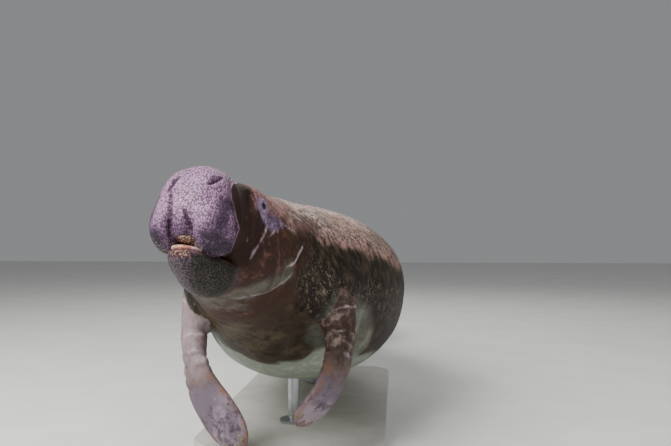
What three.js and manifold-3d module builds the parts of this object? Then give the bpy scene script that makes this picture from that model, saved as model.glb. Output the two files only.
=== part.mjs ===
// A life-size Florida manatee, swimming with its head raised and its flippers
// hanging, held over a flat base by two short rods.
//
// Millimetres, +Z up. The head looks towards -Y and the animal's left is +X.
// The origin is the centre of the base's underside.
//
// The animal is first worked out straight: x is the side, y the distance back
// from the snout along the spine, z the height over the spine. Its surface is
// where upperField or jawField is zero, and rays cast from inside find it.
// pose() then bends the finished solids along the swimming spine.

import * as THREE from "three";
import { LoftGeometry } from "three/addons/geometries/LoftGeometry.js";
import { mergeVertices } from "three/addons/utils/BufferGeometryUtils.js";
import Module from "manifold-3d";

const wasm = await Module();
wasm.setup();

// Driving sizes
const TOTAL_LENGTH = 2900;
const NODE_GAP = 0.35;
const PLANE_GAP = 0.3;
const SPINE_STEP = 10;
const SNOUT_HEIGHT = 709;
const BODY_OVER_BASE = 1190;

// Body sections: back, half width, height above the spine, depth below it
const BODY_SECTIONS = [
  [100, 94, 112, 44],
  [150, 116, 130, 92],
  [190, 124, 137, 134],
  [235, 132, 145, 157],
  [300, 150, 155, 174],
  [380, 174, 165, 194],
  [480, 208, 182, 224],
  [600, 250, 200, 276],
  [750, 304, 230, 322],
  [900, 342, 252, 340],
  [1150, 365, 268, 334],
  [1400, 346, 258, 304],
  [1650, 288, 222, 246],
  [1900, 198, 160, 166],
  [2060, 150, 122, 120],
  [2180, 139, 94, 92],
  [2290, 182, 68, 66],
  [2410, 256, 50, 48],
  [2530, 309, 37, 36],
  [2650, 330, 28, 27],
  [2750, 316, 21, 21],
  [2830, 258, 16, 16],
  [2876, 172, 12, 12],
  [TOTAL_LENGTH, 24, 8, 8],
];
const BODY_ROUNDNESS = 2.15;
const TAIL_STOCK_ENDS = 2180;
const PADDLE_STARTS = 2080;
const PADDLE_FORMED = 2380;
const PADDLE_RIM = 7;
const PADDLE_LENS_POWER = 0.8;

// The pose: back, then pitch and yaw of the spine in degrees as it runs back,
// and how far the section rolls over to the animal's left
const SPINE_TURNS = [
  [0, -15, 9, 3],
  [180, -15, 9.5, 3],
  [360, -14, 11.5, 2],
  [500, -12.5, 11, 1],
  [800, -11.5, 6, 0],
  [1150, -8, 1, 0],
  [1600, -4.5, -4, 0],
  [2100, -6, -7, 0],
  [2500, -3, -8.5, 0],
  [TOTAL_LENGTH, 1, -9, 0],
];
// The head rolls about the mouth, this far below the spine
const ROLL_DROP = 60;

// Head forms, all ellipsoids: centre, and half sizes to the side, along, up
// and, where it differs, down
const SNOUT = { at: [-2, 80, 0], half: [105, 82, 136, 54] };
const LOBE = { at: [52, 72, -18], half: [49, 74, 67] };
const LIP_PAD = { at: [-2, 36, 0], half: [25, 38, 50] };
const NOSTRIL_MOUND = { at: [34, 58, 72], half: [27, 40, 28] };
const LEFT_CHEEK = { at: [88, 250, -60], half: [62, 80, 72] };
const RIGHT_CHEEK = { at: [-80, 254, -50], half: [54, 78, 60] };
const BROW = { at: [72, 208, 90], half: [36, 84, 34] };
const CHIN = { at: [14, 144, -97], half: [68, 108, 32, 70] };
const LOWER_LIP = { at: [5, 57, -90], half: [46, 42, 20, 33] };
const SNOUT_BLEND = 34;
const LOBE_BLEND = 10;
const HEAD_BLEND = 42;
const CHIN_BLEND = 26;
// Where rays over the muzzle start, and where the muzzle, head and neck end
const HEAD_HEART = [0, 92, 4];
const MUZZLE_FRONT = -50;
const MUZZLE_ENDS = 156;
const HEAD_ENDS = 340;
const NECK_ENDS = 470;

// Grooves cut into the face, seen from in front: side and height of each
// point, the tool's radius in the middle, and how deep it goes
const FACE_GROOVES = [
  { points: [[-41, 50], [-35, 22], [-29, -14], [-27, -64]], radius: 7, depth: 10 },
  { points: [[9, 4], [16, -16], [23, -40], [27, -64]], radius: 6, depth: 8 },
  { points: [[-50, 50], [-43, 68], [-28, 88]], radius: 6.5, depth: 10 },
  { points: [[50, 72], [58, 88], [63, 100]], radius: 6.5, depth: 10 },
];
// The crease where the muzzle meets the head, seen from the side: distance
// back and height of each point
const MUZZLE_CREASE = {
  points: [[134, 84], [140, 40], [142, 0], [136, -70], [118, -110]],
  depth: 4,
  width: 9,
};

// Mouth
const UPPER_PAD = { at: [4, 62, -50], half: [34, 38, 13] };
const LOWER_PAD = { at: [5, 54, -74], half: [39, 39, 11] };

// Eye: where a ray from the head's middle meets the skin
const EYE_BACK = 190;
const EYE_UP = 78;
const EYEBALL_RADIUS = 11;
const EYEBALL_SUNK = 10.5;
const LID_RADIUS = 11.5;
const LID_THICKNESS = 4.5;
const LID_SUNK = 1.5;
const LID_OPENING = 7;

// Shoulder swelling that carries each flipper, and the flippers themselves:
// share of the length, half width, half thickness
const SHOULDER = { at: [196, 590, -96], half: [60, 112, 92] };
const SHOULDER_BLEND = 60;
const FLIPPER_STATIONS = [
  [0, 56, 50],
  [0.15, 53, 46],
  [0.3, 54, 41],
  [0.45, 57, 34],
  [0.6, 60, 26],
  [0.75, 64, 19],
  [0.86, 62, 15],
  [0.94, 47, 11],
  [0.985, 24, 8],
  [1, 8, 5],
];
const FLIPPER_LENGTH = 500;
const FLIPPER_ROUNDNESS = 2.2;
const WRIST_SHARE = 0.47;
const NAILS = [
  // share of the flipper's length, and how far across the blade
  [0.93, -0.66],
  [0.962, -0.12],
  [0.945, 0.48],
];
const NAIL_HALF = [12, 9, 5];

// Flipper routes, from inside the shoulder to the tip, and the way the blade's
// back faces at the root and at the tip
const FLIPPERS = {
  left: {
    route: [
      [180, 600, -58], [222, 572, -110], [238, 556, -177], [243, 548, -247],
      [236, 540, -308], [212, 528, -377], [150, 510, -456],
    ],
    facing: [[1, -0.2, 0.1], [0.94, -0.2, -0.27]],
  },
  right: {
    route: [
      [-172, 590, -60], [-206, 560, -118], [-207, 542, -208], [-190, 530, -296],
      [-156, 530, -372], [-100, 539, -445], [-20, 556, -540],
    ],
    facing: [[-1, -0.3, 0.1], [-0.2, -1, -0.15]],
  },
};

// Display stand
const BASE_LENGTH = 1300;
const BASE_WIDTH = 600;
const BASE_THICKNESS = 25;
const BASE_CORNER = 110;
const BASE_EDGE = 3;
const ROD_RADIUS = 19;
const ROD_BACKS = [905, 1490];
const FLANGE_RADIUS = 46;
const FLANGE_THICKNESS = 8;

// Number of points round each section, and of rings along each form
const ROUND_HEAD = 52;
const ROUND_JAW = 28;
const ROUND_BODY = 38;
const ROUND_FLIPPER = 22;
const GROOVE_ROUND = 6;
const GROOVE_STEPS = 8;
const DOME_RINGS = 18;
const SKULL_RINGS = 13;
const JAW_RINGS = 15;
const PADDLE_RINGS = 13;
const ARM_RINGS = 9;
const BLADE_RINGS = 13;

const COLOURS = {
  muzzle: 0x8d7382,
  skin: 0x6f625c,
  gum: 0xd6a396,
  palate: 0x5b4138,
  eye: 0x14100f,
  nail: 0xa79a8c,
  base: 0xd9d6cf,
  rod: 0xb9bbbd,
};

const degrees = THREE.MathUtils.degToRad;

// A smooth curve through the rows of a table, read at its first column
function smoothTable(rows, column) {
  const last = rows.length - 1;
  const slope = (i) => {
    const a = rows[Math.max(i - 1, 0)];
    const b = rows[Math.min(i + 1, last)];
    return (b[column] - a[column]) / (b[0] - a[0]);
  };
  return (at) => {
    const t = THREE.MathUtils.clamp(at, rows[0][0], rows[last][0]);
    let i = 0;
    while (i < last - 1 && rows[i + 1][0] < t) i++;
    const span = rows[i + 1][0] - rows[i][0];
    const u = (t - rows[i][0]) / span;
    const start = rows[i][column];
    const end = rows[i + 1][column];
    return (
      start * (1 + 2 * u) * (1 - u) ** 2 +
      end * (3 - 2 * u) * u ** 2 +
      span * (slope(i) * u * (1 - u) ** 2 + slope(i + 1) * (u - 1) * u ** 2)
    );
  };
}

const bodyHalfWidth = smoothTable(BODY_SECTIONS, 1);
const bodyUp = smoothTable(BODY_SECTIONS, 2);
const bodyDown = smoothTable(BODY_SECTIONS, 3);
const spinePitch = smoothTable(SPINE_TURNS, 1);
const spineYaw = smoothTable(SPINE_TURNS, 2);
const spineRoll = smoothTable(SPINE_TURNS, 3);

// The smooth join of two distances, over a band of the given width
function joined(a, b, band) {
  const h = Math.max(band - Math.abs(a - b), 0) / band;
  return Math.min(a, b) - (h * h * band) / 4;
}

function ellipsoidDistance(p, form, side = 1) {
  const d = [
    p.x - form.at[0] * side,
    p.y - form.at[1],
    p.z - form.at[2],
  ];
  const half = [form.half[0], form.half[1], d[2] > 0 ? form.half[2] : form.half[3] ?? form.half[2]];
  const k0 = Math.hypot(d[0] / half[0], d[1] / half[1], d[2] / half[2]);
  const k1 = Math.hypot(d[0] / half[0] ** 2, d[1] / half[1] ** 2, d[2] / half[2] ** 2);
  return k1 < 1e-9 ? -Math.min(...half) : (k0 * (k0 - 1)) / k1;
}

// How deep a groove is pressed in at a point of the plane it is drawn on
function pressed(u, v, groove) {
  let nearest = Infinity;
  const q = new THREE.Vector3(u, v, 0);
  for (let i = 0; i + 1 < groove.points.length; i++) {
    const line = new THREE.Line3(
      new THREE.Vector3(...groove.points[i], 0),
      new THREE.Vector3(...groove.points[i + 1], 0),
    );
    const foot = line.closestPointToPoint(q, true, new THREE.Vector3());
    nearest = Math.min(nearest, foot.distanceTo(q));
  }
  return groove.depth * Math.exp(-((nearest / groove.width) ** 2));
}

// The trunk and tail: round sections that flatten into the paddle
function trunkDistance(p) {
  const wide = bodyHalfWidth(p.y);
  const high = p.z > 0 ? bodyUp(p.y) : bodyDown(p.y);
  const n = BODY_ROUNDNESS;
  const share = (Math.abs(p.x / wide) ** n + Math.abs(p.z / high) ** n) ** (1 / n);
  const out = Math.hypot(p.x, p.z);
  const round = share < 1e-6 ? -Math.min(wide, high) : out * (1 - 1 / share);
  const flat = THREE.MathUtils.smoothstep(p.y, PADDLE_STARTS, PADDLE_FORMED);
  const ends = Math.max(BODY_SECTIONS[0][0] - p.y, p.y - TOTAL_LENGTH);
  if (flat === 0) return Math.max(round, ends);
  const core = wide - PADDLE_RIM;
  const across = Math.min(Math.abs(p.x) / core, 1);
  const lens = (high - PADDLE_RIM) * (1 - across ** 2) ** PADDLE_LENS_POWER;
  const dx = Math.abs(p.x) - core;
  const dz = Math.abs(p.z) - lens;
  const paddle =
    Math.hypot(Math.max(dx, 0), Math.max(dz, 0)) + Math.min(Math.max(dx, dz), 0) - PADDLE_RIM;
  return Math.max(round + (paddle - round) * flat, ends);
}

function bothSides(p, form) {
  return ellipsoidDistance(p, form, p.x < 0 ? -1 : 1);
}

// The head over the mouth, with the neck and trunk behind it
function upperField(p) {
  let d = trunkDistance(p);
  if (p.y < 520) {
    d = joined(d, ellipsoidDistance(p, LEFT_CHEEK), HEAD_BLEND);
    d = joined(d, ellipsoidDistance(p, RIGHT_CHEEK), HEAD_BLEND);
    d = joined(d, bothSides(p, BROW), SNOUT_BLEND);
  }
  if (p.y < 300) {
    let muzzle = ellipsoidDistance(p, SNOUT);
    muzzle = joined(muzzle, bothSides(p, NOSTRIL_MOUND), SNOUT_BLEND);
    muzzle = joined(muzzle, bothSides(p, LOBE), LOBE_BLEND);
    muzzle = joined(muzzle, ellipsoidDistance(p, LIP_PAD), LOBE_BLEND);
    d = joined(d, muzzle, HEAD_BLEND);
    d += pressed(p.y, p.z, MUZZLE_CREASE);
  }
  if (p.y > 400 && p.y < 900) d = joined(d, bothSides(p, SHOULDER), SHOULDER_BLEND);
  return d;
}

function jawField(p) {
  return joined(ellipsoidDistance(p, CHIN), ellipsoidDistance(p, LOWER_LIP), CHIN_BLEND);
}

// Where a ray from inside the form meets the surface at the given level
function cast(field, from, direction, level) {
  const at = (t) => new THREE.Vector3().copy(direction).multiplyScalar(t).add(from);
  let inside = 0;
  let outside = 0;
  for (;;) {
    const f = field(at(outside)) - level;
    if (f > 0) break;
    inside = outside;
    outside += Math.max(-0.6 * f, 1);
  }
  for (let i = 0; i < 14; i++) {
    const middle = (inside + outside) / 2;
    if (field(at(middle)) > level) outside = middle;
    else inside = middle;
  }
  return at(inside);
}

// One ring of the surface. lean is 90 degrees for a ring square to the spine
// and less for one that leans forward over the front of a dome.
function ring(field, from, lean, points, level, wide = 1, high = 1) {
  const ringPoints = [];
  for (let j = 0; j < points; j++) {
    const turn = (j / points) * 2 * Math.PI;
    const across = new THREE.Vector2(wide * Math.cos(turn), -high * Math.sin(turn)).normalize();
    const direction = new THREE.Vector3(
      across.x * Math.sin(lean),
      -Math.cos(lean),
      across.y * Math.sin(lean),
    );
    ringPoints.push(cast(field, from, direction, level));
  }
  return ringPoints;
}

function rings(first, last, count) {
  return Array.from({ length: count + 1 }, (_, i) => first + ((last - first) * i) / count);
}

// A solid from rings of points, for manifold-3d
function loft(sections) {
  return solidOf(new LoftGeometry(sections, { capStart: true, capEnd: true }));
}

function solidOf(geometry) {
  const bare = new THREE.BufferGeometry()
    .setAttribute("position", geometry.getAttribute("position"))
    .setIndex(geometry.getIndex());
  const merged = mergeVertices(bare, 1e-4);
  return new wasm.Manifold(
    new wasm.Mesh({
      numProp: 3,
      vertProperties: merged.attributes.position.array,
      triVerts: new Uint32Array(merged.index.array),
    }),
  );
}

function ellipsoid(form, grown) {
  const geometry = new THREE.SphereGeometry(1, 20, 12);
  geometry.scale(...form.half.map((h) => h + grown));
  geometry.translate(...form.at);
  return solidOf(geometry);
}

// Only the largest closed surface of a solid
function largest(solid) {
  return solid.decompose().reduce((a, b) => (b.volume() > a.volume() ? b : a));
}

// The slice of a solid between two distances back from the snout
function slice(solid, from, to) {
  const wider = BASE_LENGTH;
  const box = new THREE.BoxGeometry(wider, to - from - PLANE_GAP, wider);
  box.translate(0, (from + to) / 2, 0);
  return largest(solid.intersect(solidOf(box)));
}

// Upper head, from a dome of rays over the muzzle and rings along the skull
function upperHead(level) {
  const heart = new THREE.Vector3(...HEAD_HEART);
  const tip = 0.05;
  const sections = rings(tip, 1, DOME_RINGS).map((share) =>
    ring(upperField, heart, degrees(90 * share ** 0.94), ROUND_HEAD, level),
  );
  for (const back of rings(heart.y + 14, HEAD_ENDS + 12, SKULL_RINGS)) {
    sections.push(
      ring(upperField, heart.clone().setY(back), Math.PI / 2, ROUND_HEAD, level),
    );
  }
  return loft(sections);
}

function jawShape() {
  const heart = new THREE.Vector3(...CHIN.at);
  const sections = rings(0.03, 0.95, JAW_RINGS).map((share) =>
    ring(jawField, heart, Math.PI * share, ROUND_JAW, 0),
  );
  return loft(sections);
}

// A length of the trunk, its rings spread by the section's own shape
function trunk(stations, level) {
  return loft(
    stations.map((back) =>
      ring(
        upperField,
        new THREE.Vector3(0, back, 0),
        Math.PI / 2,
        ROUND_BODY,
        level,
        bodyHalfWidth(back),
        (bodyUp(back) + bodyDown(back)) / 2,
      ),
    ),
  );
}

// Head nodes: muzzle, head, lower jaw, mouth pads and eyes
function headNodes() {
  const whole = upperHead(0);
  const grown = upperHead(NODE_GAP);
  const eyes = { left: eyeAt(1), right: eyeAt(-1) };
  let skull = whole;
  for (const groove of FACE_GROOVES) skull = skull.subtract(grooveTool(groove));
  for (const eye of Object.values(eyes)) {
    skull = skull.add(lidRing(eye)).subtract(eyeball(eye, NODE_GAP)).subtract(lidOpening(eye));
  }
  const upperPad = ellipsoid(UPPER_PAD, 0);
  const lowerPad = ellipsoid(LOWER_PAD, 0);
  skull = skull.subtract(ellipsoid(UPPER_PAD, NODE_GAP));
  const jaw = jawShape()
    .subtract(grown)
    .subtract(ellipsoid(UPPER_PAD, NODE_GAP))
    .subtract(ellipsoid(LOWER_PAD, NODE_GAP));
  return {
    muzzle: slice(skull, MUZZLE_FRONT, MUZZLE_ENDS),
    head: slice(skull, MUZZLE_ENDS, HEAD_ENDS),
    lower_jaw: largest(jaw),
    mouth_upper_pad: upperPad,
    mouth_lower_pad: largest(
      lowerPad.subtract(grown).subtract(ellipsoid(UPPER_PAD, NODE_GAP)),
    ),
    eye_left: eyeball(eyes.left, 0),
    eye_right: eyeball(eyes.right, 0),
  };
}

// A tapered tube that follows the face, to cut a groove or a nostril
function grooveTool({ points, radius, depth }) {
  const route = new THREE.CatmullRomCurve3(points.map(([x, z]) => new THREE.Vector3(x, 0, z)));
  const forward = new THREE.Vector3(0, -1, 0);
  const lie = rings(0, 1, GROOVE_STEPS).map((share) => {
    const p = route.getPointAt(share);
    const skin = cast(upperField, new THREE.Vector3(p.x, SNOUT.at[1], p.z), forward, 0);
    return skin.addScaledVector(outwardAt(skin), radius - depth);
  });
  const middle = new THREE.CatmullRomCurve3(lie);
  return loft(
    rings(0, 1, GROOVE_STEPS).map((share) => {
      const along = middle.getTangentAt(share);
      const side = new THREE.Vector3().crossVectors(along, forward).normalize();
      const out = new THREE.Vector3().crossVectors(side, along);
      const size = radius * (0.25 + 0.75 * Math.sin(Math.PI * (0.1 + 0.8 * share)));
      return rings(0, 2 * Math.PI, GROOVE_ROUND)
        .slice(0, -1)
        .map((turn) =>
          middle
            .getPointAt(share)
            .addScaledVector(side, size * Math.sin(turn))
            .addScaledVector(out, size * Math.cos(turn)),
        );
    }),
  );
}

// Where an eye sits: the skin point and the way it looks out
function eyeAt(side) {
  const from = new THREE.Vector3(0, EYE_BACK, EYE_UP);
  const skin = cast(upperField, from, new THREE.Vector3(side, 0, 0), 0);
  return { skin, out: outwardAt(skin) };
}

// The way the skin faces at a point on it
function outwardAt(skin) {
  const step = 4;
  const slope = (axis) => {
    const shift = new THREE.Vector3().setComponent(axis, step);
    return upperField(skin.clone().add(shift)) - upperField(skin.clone().sub(shift));
  };
  return new THREE.Vector3(slope(0), slope(1), slope(2)).normalize();
}

function eyeball(eye, grown) {
  const geometry = new THREE.SphereGeometry(EYEBALL_RADIUS + grown, 12, 8);
  const centre = eye.skin.clone().addScaledVector(eye.out, -EYEBALL_SUNK);
  geometry.translate(centre.x, centre.y, centre.z);
  return solidOf(geometry);
}

// The ring of skin that closes round the eye
function lidRing(eye) {
  const geometry = new THREE.TorusGeometry(LID_RADIUS, LID_THICKNESS, 7, 16);
  geometry.applyQuaternion(
    new THREE.Quaternion().setFromUnitVectors(new THREE.Vector3(0, 0, 1), eye.out),
  );
  const place = eye.skin.clone().addScaledVector(eye.out, -LID_SUNK);
  geometry.translate(place.x, place.y, place.z);
  return solidOf(geometry);
}

function lidOpening(eye) {
  const geometry = new THREE.SphereGeometry(LID_OPENING, 12, 8);
  geometry.translate(eye.skin.x, eye.skin.y, eye.skin.z);
  return solidOf(geometry);
}

// Trunk nodes, parted by thin cuts square to the spine: name, where each
// begins and ends, and its number of rings
const TRUNK_NODES = [
  ["neck", HEAD_ENDS, NECK_ENDS, 5],
  ["shoulders", NECK_ENDS, 820, 10],
  ["torso", 820, 1360, 7],
  ["loin", 1360, 1800, 6],
  ["tail_stock", 1800, TAIL_STOCK_ENDS, 7],
];

function stationsOf([, from, to, count]) {
  return rings(from + PLANE_GAP / 2, to - PLANE_GAP / 2, count);
}

function trunkNodes() {
  const nodes = {};
  for (const row of TRUNK_NODES) nodes[row[0]] = trunk(stationsOf(row), 0);
  const from = TAIL_STOCK_ENDS + PLANE_GAP / 2;
  const reach = TOTAL_LENGTH - 3 - from;
  const paddleStations = rings(0, 1, PADDLE_RINGS).map(
    (share) => from + reach * Math.sin((share * Math.PI) / 2) ** 1.15,
  );
  nodes.tail_paddle = trunk(paddleStations, 0);
  return nodes;
}

// Flippers: an upper arm and a blade each, cut at the wrist, with their nails
function flipperSection({ route, facing }) {
  const points = route.map((p) => new THREE.Vector3(...p));
  const middle = new THREE.CatmullRomCurve3(points, false, "centripetal");
  const [root, tip] = facing.map((way) => new THREE.Vector3(...way));
  const halfWidth = smoothTable(FLIPPER_STATIONS, 1);
  const halfThickness = smoothTable(FLIPPER_STATIONS, 2);
  return (share) => {
    const along = middle.getTangentAt(share);
    const out = root.clone().lerp(tip, THREE.MathUtils.smoothstep(share, 0.2, 0.8));
    out.addScaledVector(along, -out.dot(along)).normalize();
    return {
      centre: middle.getPointAt(share),
      along,
      out,
      across: new THREE.Vector3().crossVectors(out, along),
      wide: halfWidth(share),
      thick: halfThickness(share),
    };
  };
}

function flipperRing({ centre, across, out, wide, thick }) {
  const round = (value) => Math.sign(value) * Math.abs(value) ** (2 / FLIPPER_ROUNDNESS);
  return rings(0, 2 * Math.PI, ROUND_FLIPPER)
    .slice(0, -1)
    .map((turn) =>
      centre
        .clone()
        .addScaledVector(across, round(Math.cos(turn)) * wide)
        .addScaledVector(out, round(Math.sin(turn)) * thick),
    );
}

function nail(section, offset, grown) {
  const geometry = new THREE.SphereGeometry(1, 8, 6);
  geometry.scale(...NAIL_HALF.map((half) => half + grown));
  geometry.applyMatrix4(
    new THREE.Matrix4().makeBasis(section.along, section.across, section.out),
  );
  const rise = section.thick * Math.sqrt(1 - offset ** 2) - 1;
  const place = section.centre
    .clone()
    .addScaledVector(section.across, offset * section.wide)
    .addScaledVector(section.out, rise);
  geometry.translate(place.x, place.y, place.z);
  return solidOf(geometry);
}

function flipperNodes(side, shouldersGrown) {
  const section = flipperSection(FLIPPERS[side]);
  const lofted = (shares) => loft(shares.map((share) => flipperRing(section(share))));
  const gapShare = PLANE_GAP / FLIPPER_LENGTH;
  const arm = lofted(rings(0, WRIST_SHARE - gapShare, ARM_RINGS));
  let blade = lofted(rings(WRIST_SHARE, 1, BLADE_RINGS));
  const nodes = { [`flipper_${side}_arm`]: largest(arm.subtract(shouldersGrown)) };
  NAILS.forEach(([share, offset], i) => {
    blade = blade.subtract(nail(section(share), offset, NODE_GAP));
    nodes[`flipper_${side}_nail_${i + 1}`] = nail(section(share), offset, 0);
  });
  return { ...nodes, [`flipper_${side}_blade`]: largest(blade) };
}

// The spine's place and directions at each step back from the snout
function spineTable() {
  const table = [];
  const place = new THREE.Vector3();
  for (let back = 0; back <= TOTAL_LENGTH + SPINE_STEP; back += SPINE_STEP) {
    table.push(place.clone());
    const middle = Math.min(back + SPINE_STEP / 2, TOTAL_LENGTH);
    place.addScaledVector(spineWays(middle).along, SPINE_STEP);
  }
  return table;
}

function spineWays(back) {
  const pitch = degrees(spinePitch(back));
  const yaw = degrees(spineYaw(back));
  const along = new THREE.Vector3(
    Math.sin(yaw) * Math.cos(pitch),
    Math.cos(yaw) * Math.cos(pitch),
    Math.sin(pitch),
  );
  const side = new THREE.Vector3(Math.cos(yaw), -Math.sin(yaw), 0);
  return { along, side, up: new THREE.Vector3().crossVectors(side, along) };
}

const SPINE = spineTable();

function spinePlace(back) {
  const t = THREE.MathUtils.clamp(back / SPINE_STEP, 0, SPINE.length - 1.001);
  const i = Math.floor(t);
  return SPINE[i].clone().lerp(SPINE[i + 1], t - i);
}

// Moves a point of the straight animal to its place in the posed one
function pose(point) {
  const back = THREE.MathUtils.clamp(point.y, 0, TOTAL_LENGTH);
  const ways = spineWays(back);
  const roll = degrees(spineRoll(back));
  const rise = point.z + ROLL_DROP;
  return spinePlace(back)
    .addScaledVector(ways.side, point.x * Math.cos(roll) + rise * Math.sin(roll))
    .addScaledVector(ways.along, point.y - back)
    .addScaledVector(ways.up, rise * Math.cos(roll) - point.x * Math.sin(roll) - ROLL_DROP)
    .sub(STAND_CENTRE);
}

const STAND_CENTRE = spinePlace(BODY_OVER_BASE).setZ(-SNOUT_HEIGHT);

function posedGeometry(solid) {
  const mesh = solid.getMesh();
  const positions = new Float32Array(mesh.numVert * 3);
  for (let i = 0; i < mesh.numVert; i++) {
    const at = i * mesh.numProp;
    pose(new THREE.Vector3(...mesh.vertProperties.subarray(at, at + 3))).toArray(positions, i * 3);
  }
  return new THREE.BufferGeometry()
    .setAttribute("position", new THREE.BufferAttribute(positions, 3))
    .setIndex(new THREE.BufferAttribute(mesh.triVerts.slice(), 1));
}

function plainGeometry(solid) {
  const mesh = solid.getMesh();
  return new THREE.BufferGeometry()
    .setAttribute("position", new THREE.BufferAttribute(mesh.vertProperties.slice(), 3))
    .setIndex(new THREE.BufferAttribute(mesh.triVerts.slice(), 1));
}

// Stand: a flat base with rounded corners, and two rods up to the belly
function baseGeometry() {
  const x = BASE_WIDTH / 2 - BASE_EDGE;
  const y = BASE_LENGTH / 2 - BASE_EDGE;
  const r = BASE_CORNER;
  const outline = new THREE.Shape();
  outline.moveTo(x - r, -y);
  outline.absarc(x - r, -y + r, r, -Math.PI / 2, 0, false);
  outline.absarc(x - r, y - r, r, 0, Math.PI / 2, false);
  outline.absarc(-x + r, y - r, r, Math.PI / 2, Math.PI, false);
  outline.absarc(-x + r, -y + r, r, Math.PI, 1.5 * Math.PI, false);
  const geometry = new THREE.ExtrudeGeometry(outline, {
    depth: BASE_THICKNESS - 2 * BASE_EDGE,
    bevelThickness: BASE_EDGE,
    bevelSize: BASE_EDGE,
    bevelSegments: 1,
    curveSegments: 8,
  });
  geometry.translate(0, 0, BASE_EDGE);
  return geometry;
}

// A rod stands on the base and is cut to the belly's own shape
function rod(back, bellyGrown) {
  const foot = pose(new THREE.Vector3(0, back, -bodyDown(back)));
  const bottom = BASE_THICKNESS + NODE_GAP;
  const length = foot.z - bottom + ROD_RADIUS;
  const shaft = new THREE.CylinderGeometry(ROD_RADIUS, ROD_RADIUS, length, 28, 1);
  shaft.rotateX(Math.PI / 2);
  shaft.translate(foot.x, foot.y, bottom + length / 2);
  const flange = new THREE.CylinderGeometry(FLANGE_RADIUS, FLANGE_RADIUS, FLANGE_THICKNESS, 36, 1);
  flange.rotateX(Math.PI / 2);
  flange.translate(foot.x, foot.y, bottom + FLANGE_THICKNESS / 2);
  return largest(solidOf(shaft).add(solidOf(flange)).subtract(bellyGrown));
}

const SKIN_OF = {
  muzzle: "muzzle",
  lower_jaw: "muzzle",
  mouth_upper_pad: "palate",
  mouth_lower_pad: "gum",
  eye_left: "eye",
  eye_right: "eye",
};

function meshOf(name, geometry, colour, roughness = 0.6, metalness = 0) {
  const material = new THREE.MeshStandardMaterial({ color: COLOURS[colour], roughness, metalness });
  const mesh = new THREE.Mesh(geometry, material);
  mesh.name = name;
  return mesh;
}

const group = new THREE.Group();
const shouldersGrown = trunk(stationsOf(TRUNK_NODES[1]), NODE_GAP);
const animal = {
  ...headNodes(),
  ...trunkNodes(),
  ...flipperNodes("left", shouldersGrown),
  ...flipperNodes("right", shouldersGrown),
};
for (const [name, solid] of Object.entries(animal)) {
  const finish = name.includes("nail") ? "nail" : SKIN_OF[name] ?? "skin";
  group.add(meshOf(name, posedGeometry(solid), finish));
}

group.add(meshOf("stand_base", baseGeometry(), "base", 0.7));
const bellies = [TRUNK_NODES[2], TRUNK_NODES[3]];
ROD_BACKS.forEach((back, i) => {
  const belly = posedGeometry(trunk(stationsOf(bellies[i]), NODE_GAP));
  const name = i === 0 ? "stand_rod_front" : "stand_rod_rear";
  group.add(meshOf(name, plainGeometry(rod(back, solidOf(belly))), "rod", 0.35, 0.9));
});

export default group;
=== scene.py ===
"""Looks of a life-size Florida manatee held over a flat base by two short rods.

Shapes are worked out in millimetres on the straight animal: x is its left side,
y the distance back from the snout along the spine, z the height over the spine.
Spine.pose bends them into the swimming pose, and MM turns them to metres.
"""

import logging
import math
from dataclasses import dataclass, field
from enum import Enum
from typing import Any, Callable

import bmesh
import bpy
import numpy as np
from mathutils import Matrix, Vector


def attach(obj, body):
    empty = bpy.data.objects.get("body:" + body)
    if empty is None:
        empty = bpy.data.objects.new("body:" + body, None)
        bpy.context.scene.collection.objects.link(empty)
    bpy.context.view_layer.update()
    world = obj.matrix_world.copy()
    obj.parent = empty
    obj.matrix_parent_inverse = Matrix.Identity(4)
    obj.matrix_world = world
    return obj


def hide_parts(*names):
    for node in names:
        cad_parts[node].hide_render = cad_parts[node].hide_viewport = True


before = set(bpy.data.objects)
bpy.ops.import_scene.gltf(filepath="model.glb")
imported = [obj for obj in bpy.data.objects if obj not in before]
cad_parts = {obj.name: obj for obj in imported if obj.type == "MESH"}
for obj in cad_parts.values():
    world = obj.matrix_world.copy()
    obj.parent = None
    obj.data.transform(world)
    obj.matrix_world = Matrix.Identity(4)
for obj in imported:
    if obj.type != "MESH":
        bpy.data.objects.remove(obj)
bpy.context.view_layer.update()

LOG = logging.getLogger("manatee")
MM = 0.001
BODY = "root"

Array = np.ndarray
Field = Callable[[Array], Array]
Triple = tuple[float, float, float]
Piece = bpy.types.Object
Tree = bpy.types.NodeTree


def smoothstep(value: Array, low: float, high: float) -> Array:
    """Smooth rise from 0 at low to 1 at high."""
    share = np.clip((value - low) / (high - low), 0.0, 1.0)
    return share * share * (3.0 - 2.0 * share)


def joined(a: Array, b: Array, band: Array | float) -> Array:
    """Smooth union of two distances.

    Args:
        a: First distance, in mm.
        b: Second distance, in mm.
        band: Width over which they melt together, in mm.

    Returns:
        The distance to the joined form.
    """
    gap = np.maximum(band - np.abs(a - b), 0.0)
    return np.minimum(a, b) - gap * gap / (4.0 * band)


def carved(a: Array, tool: Array, band: float) -> Array:
    """Distance to the form a with the form tool cut out of it, its edge rounded over band."""
    return -joined(-a, tool, band)


def unit(vectors: Array) -> Array:
    """Vectors scaled to length 1."""
    return vectors / np.maximum(np.linalg.norm(vectors, axis=-1, keepdims=True), 1e-12)


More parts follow.
